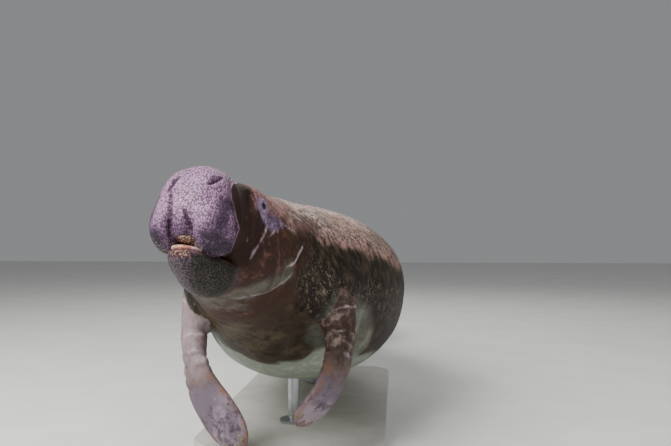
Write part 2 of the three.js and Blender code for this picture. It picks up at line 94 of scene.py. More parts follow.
class Table:
    """A smooth curve through the rows of a table, read at its first column."""

    def __init__(self, rows: list[list[float]]) -> None:
        """Keeps the rows and works out the slope at each.

        Args:
            rows: Rows of numbers, sorted by their first column.
        """
        values = np.array(rows, float)
        self.at = values[:, 0]
        self.values = values
        before = np.maximum(np.arange(len(rows)) - 1, 0)
        after = np.minimum(np.arange(len(rows)) + 1, len(rows) - 1)
        self.slopes = (values[after] - values[before]) / (self.at[after] - self.at[before])[:, None]

    def __call__(self, where: Array | float, column: int = 1) -> Array:
        """Reads one column.

        Args:
            where: Places along the first column.
            column: Number of the column to read.

        Returns:
            The smooth value at each place.
        """
        t = np.clip(where, self.at[0], self.at[-1])
        i = np.clip(np.searchsorted(self.at, t, side="left") - 1, 0, len(self.at) - 2)
        span = self.at[i + 1] - self.at[i]
        u = (t - self.at[i]) / span
        start, end = self.values[i, column], self.values[i + 1, column]
        lead, trail = self.slopes[i, column], self.slopes[i + 1, column]
        return (
            start * (1 + 2 * u) * (1 - u) ** 2
            + end * (3 - 2 * u) * u**2
            + span * (lead * u * (1 - u) ** 2 + trail * (u - 1) * u**2)
        )


class Route:
    """A centripetal curve through a few points, sampled at even lengths."""

    SAMPLES_A_SPAN = 40

    def __init__(self, points: list[list[float]], samples: int) -> None:
        """Samples the curve.

        Args:
            points: The points it passes, in mm.
            samples: Number of even samples kept.
        """
        given = np.array(points, float)
        knots = np.vstack([2 * given[0] - given[1], given, 2 * given[-1] - given[-2]])
        fine = []
        for a, b, c, d in zip(knots, knots[1:], knots[2:], knots[3:]):
            fine.append(self._span(a, b, c, d))
        fine.append(given[-1:])
        dense = np.vstack(fine)
        steps = np.linalg.norm(np.diff(dense, axis=0), axis=1)
        run = np.concatenate([[0.0], np.cumsum(steps)])
        self.length = run[-1]
        shares = np.linspace(0.0, self.length, samples)
        self.points = np.stack([np.interp(shares, run, dense[:, k]) for k in range(3)], axis=1)
        self.along = unit(np.gradient(self.points, axis=0))

    def _span(self, a: Array, b: Array, c: Array, d: Array) -> Array:
        """Samples one stretch of the curve.

        Args:
            a: Knot before the stretch.
            b: Knot where it starts.
            c: Knot where it ends.
            d: Knot after it.

        Returns:
            The samples from b up to, but without, c.
        """
        t0, t1, t2 = (math.sqrt(max(np.linalg.norm(q - p), 1e-6)) for p, q in ((a, b), (b, c), (c, d)))
        lead = ((b - a) / t0 - (c - a) / (t0 + t1) + (c - b) / t1) * t1
        trail = ((c - b) / t1 - (d - b) / (t1 + t2) + (d - c) / t2) * t1
        t = np.linspace(0.0, 1.0, self.SAMPLES_A_SPAN, endpoint=False)[:, None]
        bend = -3 * b + 3 * c - 2 * lead - trail
        twist = 2 * b - 2 * c + lead + trail
        return b + lead * t + bend * t**2 + twist * t**3

    def nearest(self, points: Array) -> tuple[Array, Array]:
        """Distance from each point to the curve.

        Args:
            points: Points in mm.

        Returns:
            The distances, and the share of the curve's length where each is nearest.
        """
        best = np.full(len(points), np.inf)
        share = np.zeros(len(points))
        last = len(self.points) - 1
        for i in range(last):
            start, step = self.points[i], self.points[i + 1] - self.points[i]
            t = np.clip((points - start) @ step / (step @ step), 0.0, 1.0)
            gap = np.linalg.norm(points - start - t[:, None] * step, axis=1)
            nearer = gap < best
            best[nearer] = gap[nearer]
            share[nearer] = ((i + t) / last)[nearer]
        return best, share


class Ripples:
    """Smooth random relief in space, between about -1 and 1, the same on every run."""

    COUNT = 256
    GAIN = 1.7

    def __init__(self, seed: int) -> None:
        """Draws the directions from a seeded source."""
        draw = np.random.default_rng(seed)
        self.order = draw.permutation(self.COUNT)
        self.ways = unit(draw.normal(size=(self.COUNT, 3)))

    def __call__(self, points: Array, size: Triple) -> Array:
        """Reads the relief.

        Args:
            points: Points in mm.
            size: Size of one ripple along x, y and z, in mm.

        Returns:
            The height at each point, without unit.
        """
        scaled = points / np.array(size)
        cell = np.floor(scaled).astype(int)
        inside = scaled - cell
        fade = inside**3 * (inside * (inside * 6 - 15) + 10)
        total = np.zeros(len(points))
        last = self.COUNT - 1
        for corner in np.ndindex(2, 2, 2):
            at = (cell + corner) & last
            mixed = self.order[(at[:, 1] + self.order[at[:, 2]]) & last]
            mixed = self.order[(at[:, 0] + mixed) & last]
            weight = np.prod(np.where(np.array(corner) == 1, fade, 1 - fade), axis=1)
            total += weight * np.sum(self.ways[mixed] * (inside - corner), axis=1)
        return self.GAIN * total


@dataclass(frozen=True)
class Ellipsoid:
    """One rounded form: its centre, and its half sizes.

    Attributes:
        at: Centre, in mm.
        half: Half sizes to the side, along, up and, where it differs, down.
        paired: Whether the other side has the same form, mirrored.
    """

    at: Triple
    half: tuple[float, ...]
    paired: bool = False

    def distance(self, points: Array) -> Array:
        """Distance from each point to the form.

        Args:
            points: Points in mm.

        Returns:
            The distances in mm, less than 0 inside.
        """
        side = np.abs(points[:, 0]) if self.paired else points[:, 0]
        x, y, z = side - self.at[0], points[:, 1] - self.at[1], points[:, 2] - self.at[2]
        down = self.half[3] if len(self.half) > 3 else self.half[2]
        high = np.where(z > 0, self.half[2], down)
        shares = (x / self.half[0]) ** 2 + (y / self.half[1]) ** 2 + (z / high) ** 2
        steep = (x / self.half[0] ** 2) ** 2 + (y / self.half[1] ** 2) ** 2 + (z / high**2) ** 2
        k0 = np.sqrt(shares)
        return k0 * (k0 - 1.0) / np.maximum(np.sqrt(steep), 1e-9)


@dataclass
class Spine:
    """The swimming pose: how the spine pitches, yaws and rolls as it runs back.

    Attributes:
        step: Stretch over which its direction is added up.
        back_over_base: Distance back of the section over the base's centre.
        roll_drop: How far under the spine the body rolls.
        turns: Rows of distance back, then pitch, yaw and roll in degrees.
    """

    length: float = 2900.0
    step: float = 10.0
    snout_height: float = 709.0
    back_over_base: float = 1190.0
    roll_drop: float = 60.0
    turns: Table = field(default_factory=lambda: Table([
        [0, -15, 9, 3], [180, -15, 9.5, 3], [360, -14, 11.5, 2], [500, -12.5, 11, 1],
        [800, -11.5, 6, 0], [1150, -8, 1, 0], [1600, -4.5, -4, 0], [2100, -6, -7, 0],
        [2500, -3, -8.5, 0], [2900, 1, -9, 0],
    ]))

    def __post_init__(self) -> None:
        """Adds up the spine from the snout back, and finds what stands over the base's centre."""
        middles = np.minimum(np.arange(0, self.length + self.step, self.step) + self.step / 2, self.length)
        steps = self.ways(middles)[1] * self.step
        self.places = np.vstack([np.zeros(3), np.cumsum(steps, axis=0)])
        centre = self.place(np.array([self.back_over_base]))[0]
        self.origin = np.array([centre[0], centre[1], -self.snout_height])

    def ways(self, back: Array) -> tuple[Array, Array, Array]:
        """Directions of the section at each distance back.

        Args:
            back: Distances back, in mm.

        Returns:
            The directions side, along and up.
        """
        pitch, yaw = np.radians(self.turns(back, 1)), np.radians(self.turns(back, 2))
        flat = np.cos(pitch)
        along = np.stack([np.sin(yaw) * flat, np.cos(yaw) * flat, np.sin(pitch)], axis=1)
        side = np.stack([np.cos(yaw), -np.sin(yaw), np.zeros_like(yaw)], axis=1)
        return side, along, np.cross(side, along)

    def place(self, back: Array) -> Array:
        """Place of the spine at each distance back.

        Args:
            back: Distances back, in mm.

        Returns:
            The places, from the snout.
        """
        t = np.clip(back / self.step, 0, len(self.places) - 1.001)
        i = np.floor(t).astype(int)
        return self.places[i] + (self.places[i + 1] - self.places[i]) * (t - i)[:, None]

    def pose(self, points: Array) -> Array:
        """Bends points of the straight animal into the pose.

        Args:
            points: Points in mm.

        Returns:
            Their places over the base, in metres.
        """
        back = np.clip(points[:, 1], 0, self.length)
        side, along, up = self.ways(back)
        roll = np.radians(self.turns(back, 3))
        rise = points[:, 2] + self.roll_drop
        across = points[:, 0] * np.cos(roll) + rise * np.sin(roll)
        high = rise * np.cos(roll) - points[:, 0] * np.sin(roll) - self.roll_drop
        posed = (
            self.place(back)
            + side * across[:, None]
            + along * (points[:, 1] - back)[:, None]
            + up * high[:, None]
        )
        return (posed - self.origin) * MM


@dataclass
class Trunk:
    """Body from the skull to the tip of the tail, whose sections flatten into the paddle.

    Attributes:
        roundness: Power of the round sections, 2 for an ellipse.
        lens_power: How the paddle thins towards its rim.
        sections: Rows of distance back, half width, and height over and under the spine.
    """

    roundness: float = 2.15
    paddle_starts: float = 2080.0
    paddle_formed: float = 2380.0
    rim: float = 7.0
    lens_power: float = 0.8
    sections: Table = field(default_factory=lambda: Table([
        [100, 94, 112, 44], [150, 116, 130, 92], [190, 124, 137, 134], [235, 132, 145, 157],
        [300, 150, 155, 174], [380, 174, 165, 194], [480, 208, 182, 224], [600, 250, 200, 276],
        [750, 304, 230, 322], [900, 342, 252, 340], [1150, 365, 268, 334], [1400, 346, 258, 304],
        [1650, 288, 222, 246], [1900, 198, 160, 166], [2060, 150, 122, 120], [2180, 139, 94, 92],
        [2290, 182, 68, 66], [2410, 256, 50, 48], [2530, 309, 37, 36], [2650, 330, 28, 27],
        [2750, 316, 21, 21], [2830, 258, 16, 16], [2876, 172, 12, 12], [2900, 24, 8, 8],
    ]))

    def distance(self, points: Array) -> Array:
        """Distance from each point to the trunk and tail.

        Args:
            points: Points in mm.

        Returns:
            The distances in mm, less than 0 inside.
        """
        x, y, z = np.abs(points[:, 0]), points[:, 1], points[:, 2]
        wide = self.sections(y, 1)
        high = np.where(z > 0, self.sections(y, 2), self.sections(y, 3))
        n = self.roundness
        share = np.maximum(((x / wide) ** n + (np.abs(z) / high) ** n) ** (1 / n), 1e-6)
        round_form = np.hypot(x, z) * (1 - 1 / share)
        core = wide - self.rim
        lens = (high - self.rim) * (1 - np.minimum(x / core, 1.0) ** 2) ** self.lens_power
        dx, dz = x - core, np.abs(z) - lens
        outside = np.hypot(np.maximum(dx, 0), np.maximum(dz, 0))
        paddle = outside + np.minimum(np.maximum(dx, dz), 0) - self.rim
        flat = smoothstep(y, self.paddle_starts, self.paddle_formed)
        ends = np.maximum(self.sections.at[0] - y, y - self.sections.at[-1])
        return np.maximum(round_form + (paddle - round_form) * flat, ends)


@dataclass
class Head:
    """Rounded forms of the muzzle, jaw, cheeks and brow, and the bands where they melt together."""

    snout: Ellipsoid = Ellipsoid((-2, 80, 0), (105, 82, 136, 54))
    lobe: Ellipsoid = Ellipsoid((52, 72, -18), (49, 74, 67), paired=True)
    lip_pad: Ellipsoid = Ellipsoid((-2, 36, 0), (25, 38, 50))
    nostril_mound: Ellipsoid = Ellipsoid((34, 58, 72), (27, 40, 28), paired=True)
    left_cheek: Ellipsoid = Ellipsoid((88, 250, -60), (62, 80, 72))
    right_cheek: Ellipsoid = Ellipsoid((-80, 254, -50), (54, 78, 60))
    brow: Ellipsoid = Ellipsoid((72, 208, 90), (36, 84, 34), paired=True)
    chin: Ellipsoid = Ellipsoid((14, 144, -97), (68, 108, 32, 70))
    lower_lip: Ellipsoid = Ellipsoid((5, 57, -90), (46, 42, 20, 33))
    mouth_recess: Ellipsoid = Ellipsoid((3, 30, -60), (32, 42, 12))
    snout_blend: float = 34.0
    lobe_blend: float = 10.0
    head_blend: float = 42.0
    chin_blend: float = 26.0
    crease_points: tuple[tuple[float, float], ...] = (
        (134, 84), (140, 40), (142, 0), (136, -70), (118, -110),
    )
    crease_depth: float = 4.0
    crease_width: float = 9.0
    muzzle_reach: float = 300.0
    jaw_reach: float = 330.0
    lips_melt: tuple[float, float] = (130.0, 240.0)
    lip_blend: float = 2.0
    jaw_blend: float = 40.0
    mouth_line_depth: float = 5.0
    mouth_line_width: float = 6.0
    recess_reach: float = 140.0
    recess_edge: float = 6.0

    def __post_init__(self) -> None:
        """Draws the crease behind the muzzle, seen from the side."""
        self.crease = Route([[0, y, z] for y, z in self.crease_points], 12)

    def muzzle(self, points: Array) -> Array:
        """Distance to the muzzle over the mouth, its lobes, lip pad and nostril mounds.

        Args:
            points: Points in mm.

        Returns:
            The distances in mm.
        """
        d = self.snout.distance(points)
        d = joined(d, self.nostril_mound.distance(points), self.snout_blend)
        d = joined(d, self.lobe.distance(points), self.lobe_blend)
        return joined(d, self.lip_pad.distance(points), self.lobe_blend)

    def skull(self, points: Array, trunk: Array) -> Array:
        """Distance to the head over the mouth.

        Args:
            points: Points in mm.
            trunk: Distance of each point to the trunk.

        Returns:
            The distance with cheeks, brow and muzzle joined to the trunk.
        """
        d = joined(trunk, self.left_cheek.distance(points), self.head_blend)
        d = joined(d, self.right_cheek.distance(points), self.head_blend)
        d = joined(d, self.brow.distance(points), self.snout_blend)
        front = points[:, 1] < self.muzzle_reach
        near = points[front]
        d[front] = joined(d[front], self.muzzle(near), self.head_blend)
        side = near.copy()
        side[:, 0] = 0.0
        gap, _ = self.crease.nearest(side)
        d[front] += self.crease_depth * np.exp(-((gap / self.crease_width) ** 2))
        return d

    def jaw(self, points: Array) -> Array:
        """Distance to the lower jaw and lip."""
        return joined(self.chin.distance(points), self.lower_lip.distance(points), self.chin_blend)


@dataclass(frozen=True)
class Groove:
    """A rounded groove cut into the face.

    Attributes:
        points: Side and height of each point, seen from in front, in mm.
        radius: Half width in the middle.
        depth: How deep it reaches under the skin.
    """

    points: tuple[tuple[float, float], ...]
    radius: float
    depth: float


class Side(Enum):
    """The animal's two sides, each with the sign of x there."""

    LEFT = 1
    RIGHT = -1


@dataclass
class Flipper:
    """One flipper: its route from inside the shoulder to the tip, and how its back turns.

    Attributes:
        facing: Where its back faces at the root and at the tip.
        facing_turns: Shares of the length between which the facing turns.
        reach: Distances back between which it can lie.
        inner: How far past the middle it can reach, less than 0 on the other side.
        stations: Rows of share of the length, half width and half thickness.
    """

    side: Side
    route_points: list[list[float]]
    facing: tuple[list[float], list[float]]
    roundness: float = 2.2
    samples: int = 81
    facing_turns: tuple[float, float] = (0.2, 0.8)
    reach: tuple[float, float] = (440.0, 720.0)
    inner: float = -90.0
    stations: Table = field(default_factory=lambda: Table([
        [0, 56, 50], [0.15, 53, 46], [0.3, 54, 41], [0.45, 57, 34], [0.6, 60, 26], [0.75, 64, 19],
        [0.86, 62, 15], [0.94, 47, 11], [0.985, 24, 8], [1, 8, 5],
    ]))

    def __post_init__(self) -> None:
        """Works out the section at each sample of the route."""
        self.route = Route(self.route_points, self.samples)
        shares = np.linspace(0.0, 1.0, self.samples)
        turn = smoothstep(shares, *self.facing_turns)[:, None]
        root, tip = np.array(self.facing[0], float), np.array(self.facing[1], float)
        out = root + (tip - root) * turn
        along = self.route.along
        out = unit(out - along * np.sum(out * along, axis=1, keepdims=True))
        self.frame = np.hstack([self.route.points, along, out, np.cross(out, along)])

    def near(self, points: Array) -> Array:
        """Tells which points may lie on the flipper."""
        back, out = points[:, 1], points[:, 0] * self.side.value
        return (back > self.reach[0]) & (back < self.reach[1]) & (out > self.inner)

    def section(self, share: Array) -> tuple[Array, Array, Array, Array]:
        """Section at each share of the length.

        Args:
            share: Shares from 0 at the root to 1 at the tip.

        Returns:
            Its centre, and the directions along, out and across.
        """
        t = np.clip(share, 0, 1) * (self.samples - 1)
        i = np.minimum(t.astype(int), self.samples - 2)
        row = self.frame[i] + (self.frame[i + 1] - self.frame[i]) * (t - i)[:, None]
        return row[:, 0:3], unit(row[:, 3:6]), unit(row[:, 6:9]), unit(row[:, 9:12])

    def coordinates(self, points: Array) -> tuple[Array, Array, Array, Array]:
        """Place of each point on the flipper.

        Args:
            points: Points in mm.

        Returns:
            Share of the length, then mm across, mm out and mm past either end.
        """
        coarse = self.frame[::2, :3]
        apart = ((points[:, None, :] - coarse[None]) ** 2).sum(axis=2)
        nearest = np.argmin(apart, axis=1) * 2
        away = points - self.frame[nearest, :3]
        share = nearest / (self.samples - 1)
        share = share + np.sum(away * self.frame[nearest, 3:6], axis=1) / self.route.length
        centre, _, out, across = self.section(share)
        rest = points - centre
        return (
            np.clip(share, 0, 1),
            np.sum(rest * across, axis=1),
            np.sum(rest * out, axis=1),
            np.maximum(share - 1, -share).clip(0) * self.route.length,
        )

    def distance(self, points: Array) -> Array:
        """Distance from each point to the flipper.

        Args:
            points: Points in mm.

        Returns:
            The distances in mm, less than 0 inside.
        """
        share, across, out, past = self.coordinates(points)
        wide, thick = self.stations(share, 1), self.stations(share, 2)
        n = self.roundness
        k = np.maximum(((np.abs(across) / wide) ** n + (np.abs(out) / thick) ** n) ** (1 / n), 1e-4)
        round_form = np.hypot(across, out) * (1 - 1 / k)
        return np.where(past > 0, np.maximum(round_form, past), round_form)


@dataclass
class EyeSeat:
    """Where one eye sits: the skin point and the way it looks out."""

    skin: Array
    out: Array


@dataclass
class Animal:
    """The whole manatee as one distance field, in the straight frame."""

    spine: Spine = field(default_factory=Spine)
    trunk: Trunk = field(default_factory=Trunk)
    head: Head = field(default_factory=Head)
    shoulder: Ellipsoid = Ellipsoid((196, 590, -96), (60, 112, 92), paired=True)
    shoulder_blend: float = 60.0
    shoulder_reach: tuple[float, float] = (400.0, 900.0)
    head_reach: float = 520.0
    flipper_blend: float = 26.0
    flippers: tuple[Flipper, Flipper] = field(
        default_factory=lambda: (
            Flipper(
                Side.LEFT,
                [
                    [180, 600, -58], [222, 572, -110], [238, 556, -177], [243, 548, -247],
                    [236, 540, -308], [212, 528, -377], [150, 510, -456],
                ],
                ([1, -0.2, 0.1], [0.94, -0.2, -0.27]),
            ),
            Flipper(
                Side.RIGHT,
                [
                    [-172, 590, -60], [-206, 560, -118], [-207, 542, -208], [-190, 530, -296],
                    [-156, 530, -372], [-100, 539, -445], [-20, 556, -540],
                ],
                ([-1, -0.3, 0.1], [-0.2, -1, -0.15]),
            ),
        )
    )
    face_grooves: tuple[Groove, ...] = (
        Groove(((-41, 50), (-35, 22), (-29, -14), (-27, -64)), 8, 11),
        Groove(((9, 4), (16, -16), (23, -40), (27, -64)), 7, 9),
        Groove(((-50, 50), (-43, 68), (-28, 88)), 7, 12),
        Groove(((50, 72), (58, 88), (63, 100)), 7, 12),
    )
    eye_back: float = 190.0
    eye_up: float = 78.0
    eyeball_radius: float = 11.0
    eyeball_sunk: float = 10.5
    lid_radius: float = 11.5
    lid_thickness: float = 4.5
    lid_sunk: float = 1.5
    lid_opening: float = 6.0
    lid_blend: float = 8.0
    opening_out: float = 2.0
    opening_edge: float = 3.0
    eye_gap: float = 0.3
    socket_edge: float = 1.5
    cast_steps: int = 131
    cast_halvings: int = 14

    def __post_init__(self) -> None:
        """Lays the grooves on the face and seats the eyes."""
        self.cuts = [self._lay_groove(groove) for groove in self.face_grooves]
        self.eyes = {side: self._seat_eye(side) for side in Side}

    def upper(self, points: Array) -> Array:
        """Distance to the head over the mouth, the trunk and the tail.

        Args:
            points: Points in mm.

        Returns:
            The distances in mm.
        """
        d = self.trunk.distance(points)
        y = points[:, 1]
        near = y < self.head_reach
        d[near] = self.head.skull(points[near], d[near])
        near = (y > self.shoulder_reach[0]) & (y < self.shoulder_reach[1])
        d[near] = joined(d[near], self.shoulder.distance(points[near]), self.shoulder_blend)
        return d

    def plain(self, points: Array) -> Array:
        """Distance to the whole animal before the fine forms of the face.

        Args:
            points: Points in mm.

        Returns:
            The distances in mm.
        """
        d = self.upper(points)
        y = points[:, 1]
        head = self.head
        near = y < head.jaw_reach
        jaw = head.jaw(points[near])
        melt = smoothstep(y[near], *head.lips_melt)
        apart = d[near] - jaw
        d[near] = joined(d[near], jaw, head.lip_blend + head.jaw_blend * melt)
        line = np.exp(-((apart / head.mouth_line_width) ** 2))
        d[near] += head.mouth_line_depth * (1 - melt) * line
        for flipper in self.flippers:
            near = flipper.near(points)
            d[near] = joined(d[near], flipper.distance(points[near]), self.flipper_blend)
        return d

    def full(self, points: Array) -> Array:
        """Distance to the whole animal, with the mouth's hollow and the lids.

        Args:
            points: Points in mm.

        Returns:
            The distances in mm.
        """
        d = self.plain(points)
        near = points[:, 1] < self.head.recess_reach
        recess = self.head.mouth_recess.distance(points[near])
        d[near] = carved(d[near], recess, self.head.recess_edge)
        for seat in self.eyes.values():
            near = np.linalg.norm(points - seat.skin, axis=1) < 4 * self.lid_radius
            d[near] = self._lidded(points[near], d[near], seat)
        return d

    def _lidded(self, points: Array, d: Array, seat: EyeSeat) -> Array:
        """Adds the ring of the lids round one eye and opens it over the eyeball.

        Args:
            points: Points in mm.
            d: Distance of each point before that.
            seat: The eye's seat.

        Returns:
            The distances with lids and socket.
        """
        away = points - (seat.skin - seat.out * self.lid_sunk)
        high = away @ seat.out
        flat = np.linalg.norm(away - high[:, None] * seat.out, axis=1)
        ring = np.hypot(flat - self.lid_radius, high) - self.lid_thickness
        d = joined(d, ring, self.lid_blend)
        middle = seat.skin + seat.out * self.opening_out
        opening = np.linalg.norm(points - middle, axis=1) - self.lid_opening
        ball = seat.skin - seat.out * self.eyeball_sunk
        socket = np.linalg.norm(points - ball, axis=1) - self.eyeball_radius - self.eye_gap
        return carved(carved(d, socket, self.socket_edge), opening, self.opening_edge)

    def outward(self, form: Field, points: Array, step: float = 1.0) -> tuple[Array, Array]:
        """Slope of a field.

        Args:
            form: The distance field.
            points: Points in mm.
            step: How far apart the field is read, in mm.

        Returns:
            The field's rise per mm along x, y and z, and that as a direction.
        """
        slope = np.empty_like(points)
        for k in range(3):
            shift = np.zeros(3)
            shift[k] = step
            slope[:, k] = (form(points + shift) - form(points - shift)) / (2 * step)
        return slope, unit(slope)

    def cast(self, start: Array, way: Array, reach: float = 260.0) -> Array:
        """First skin point along rays from inside the head.

        Args:
            start: Where each ray starts, in mm.
            way: The direction that all take.
            reach: How far they may go, in mm.

        Returns:
            The points where they leave the head.
        """
        outside = np.full(len(start), reach)
        steps = np.linspace(0, reach, self.cast_steps)
        for step in steps[::-1]:
            out = self.upper(start + step * way) > 0
            outside[out] = step
        inside = outside - (steps[1] - steps[0])
        for _ in range(self.cast_halvings):
            middle = (inside + outside) / 2
            out = self.upper(start + middle[:, None] * way) > 0
            outside[out] = middle[out]
            inside[~out] = middle[~out]
        return start + inside[:, None] * way

    def _lay_groove(self, groove: Groove) -> tuple[Route, Groove]:
        """Lays a groove's middle line on the face.

        Args:
            groove: The groove, seen from in front.

        Returns:
            Its line on the skin, with the groove.
        """
        flat = Route([[x, self.head.snout.at[1], z] for x, z in groove.points], 9)
        skin = self.cast(flat.points, np.array([0.0, -1.0, 0.0]))
        return Route(skin.tolist(), 17), groove

    def _seat_eye(self, side: Side) -> EyeSeat:
        """Finds where the eye on one side meets the skin.

        Args:
            side: The animal's side.

        Returns:
            The seat.
        """
        start = np.array([[0.0, self.eye_back, self.eye_up]])
        skin = self.cast(start, np.array([float(side.value), 0.0, 0.0]))
        _, out = self.outward(self.upper, skin, 4.0)
        return EyeSeat(skin[0], out[0])


@dataclass
class SkinGrid:
    """Turns a distance field into an even net of quads, finer at the head than at the tail."""

    front: float = -16.0
    back: float = 2912.0
    half_cells: int = 66
    cells_down: int = 108
    cells_up: int = 56
    block: int = 6
    margin: float = 14.0
    margin_share: float = 1.3
    far: float = 1e3
    points_at_once: int = 200_000
    spacing: Table = field(default_factory=lambda: Table([
        [0, 3.85], [230, 4.2], [340, 5.4], [480, 6.3], [640, 7.0], [780, 10.4], [1000, 13.6],
        [1500, 15.0], [2000, 14.0], [2150, 12.0], [2300, 10.5], [2900, 9.6],
    ]))
    flatness: Table = field(default_factory=lambda: Table([[0, 1], [2050, 1], [2350, 0.55], [2900, 0.45]]))

    def mesh(self, form: Field) -> tuple[Array, Array]:
        """Nets the surface of a field.

        Args:
            form: The distance field, in mm.

        Returns:
            Points in mm, and quads as rows of four point numbers.
        """
        stations = [self.front]
        while stations[-1] < self.back:
            stations.append(stations[-1] + float(self.spacing(stations[-1])))
        self.y = np.array(stations)
        self.wide = self.spacing(self.y)
        self.high = self.wide * self.flatness(self.y)
        shape = (2 * self.half_cells + 1, len(self.y), self.cells_down + self.cells_up + 1)
        values = self._sample(form, shape)
        return self._net(values, shape)

    def _place(self, index: Array) -> Array:
        """Finds points of the grid from their whole or broken numbers.

        Args:
            index: Rows of three numbers.

        Returns:
            The points, in mm.
        """
        j = index[:, 1]
        low = np.clip(np.floor(j).astype(int), 0, len(self.y) - 2)
        share = j - low
        y, wide, high = (
            values[low] + (values[low + 1] - values[low]) * share for values in (self.y, self.wide, self.high)
        )
        return np.stack(
            [(index[:, 0] - self.half_cells) * wide, y, (index[:, 2] - self.cells_down) * high], axis=1
        )

    def _sample(self, form: Field, shape: tuple[int, int, int]) -> Array:
        """Reads the field over the grid, point by point only in blocks near the surface.

        Args:
            form: The distance field, in mm.
            shape: Number of points along each axis.

        Returns:
            The value at each point of the grid.
        """
        size = self.block
        blocks = [math.ceil(n / size) for n in shape]
        corner = np.stack(np.meshgrid(*[np.arange(n) for n in blocks], indexing="ij"), axis=-1)
        corner = corner.reshape(-1, 3) * size
        middle = corner + (size - 1) / 2
        centre = form(self._place(middle))
        reach = 0.5 * size * math.sqrt(3) * self.spacing(self._place(middle)[:, 1])
        near = np.abs(centre) < self.margin_share * reach + self.margin
        values = np.repeat(np.where(centre < 0, -self.far, self.far).astype(np.float32), size**3)
        values = values.reshape(*blocks, size, size, size).transpose(0, 3, 1, 4, 2, 5)
        values = values.reshape([n * size for n in blocks])[: shape[0], : shape[1], : shape[2]].copy()
        offsets = np.stack(np.meshgrid(*[np.arange(size)] * 3, indexing="ij"), axis=-1).reshape(-1, 3)
        fine = (corner[near][:, None, :] + offsets[None]).reshape(-1, 3)
        fine = fine[(fine < np.array(shape)).all(axis=1)]
        for part in np.array_split(fine, max(1, len(fine) // self.points_at_once)):
            values[part[:, 0], part[:, 1], part[:, 2]] = form(self._place(part.astype(float)))
        return values

    def _net(self, values: Array, shape: tuple[int, int, int]) -> tuple[Array, Array]:
        """Sets one point in each cell that the surface crosses, and a quad over each edge crossed.

        Args:
            values: The value at each point of the grid.
            shape: Number of points along each axis.

        Returns:
            Points in mm, and quads.
        """
        inside = values < 0
        count = np.zeros([n - 1 for n in shape], np.int8)
        corners = list(np.ndindex(2, 2, 2))
        for a, b, c in corners:
            count += inside[a : shape[0] - 1 + a, b : shape[1] - 1 + b, c : shape[2] - 1 + c]
        cells = np.argwhere((count > 0) & (count < 8))
        number = np.full([n - 1 for n in shape], -1, np.int32)
        number[cells[:, 0], cells[:, 1], cells[:, 2]] = np.arange(len(cells))
        total, crossings = np.zeros((len(cells), 3)), np.zeros(len(cells))
        for start in corners:
            for axis in range(3):
                if start[axis]:
                    continue
                end = tuple(v + (k == axis) for k, v in enumerate(start))
                p, q = cells + start, cells + end
                a = values[p[:, 0], p[:, 1], p[:, 2]]
                b = values[q[:, 0], q[:, 1], q[:, 2]]
                crossed = (a < 0) != (b < 0)
                share = np.where(crossed, a / np.where(crossed, a - b, 1.0), 0.0)
                at = p + share[:, None] * (np.array(end) - start)
                total[crossed] += at[crossed]
                crossings += crossed
        points = self._place(total / crossings[:, None])
        quads = [self._quads(inside, number, axis) for axis in range(3)]
        return points, np.vstack(quads)

    def _quads(self, inside: Array, number: Array, axis: int) -> Array:
        """Quads over the edges that run along one axis of the grid.

        Args:
            inside: Tells which points of the grid lie inside.
            number: Number of the point in each cell, or -1.
            axis: The axis.

        Returns:
            The quads.
        """
        u, v = (axis + 1) % 3, (axis + 2) % 3
        low = [slice(None)] * 3
        high = [slice(None)] * 3
        low[axis], high[axis] = slice(None, -1), slice(1, None)
        before, after = inside[tuple(low)], inside[tuple(high)]
        edges = np.argwhere(before != after)
        edges = edges[(edges[:, u] > 0) & (edges[:, v] > 0)]
        edges = edges[(edges[:, u] < number.shape[u]) & (edges[:, v] < number.shape[v])]
        steps = np.zeros((4, 3), int)
        steps[1, u] = steps[2, u] = steps[2, v] = steps[3, v] = -1
        ring = [number[tuple((edges + step).T)] for step in steps]
        quads = np.stack(ring, axis=1)
        leaving = before[tuple(edges.T)]
        quads[~leaving] = quads[~leaving][:, ::-1]
        return quads[(quads >= 0).all(axis=1)]


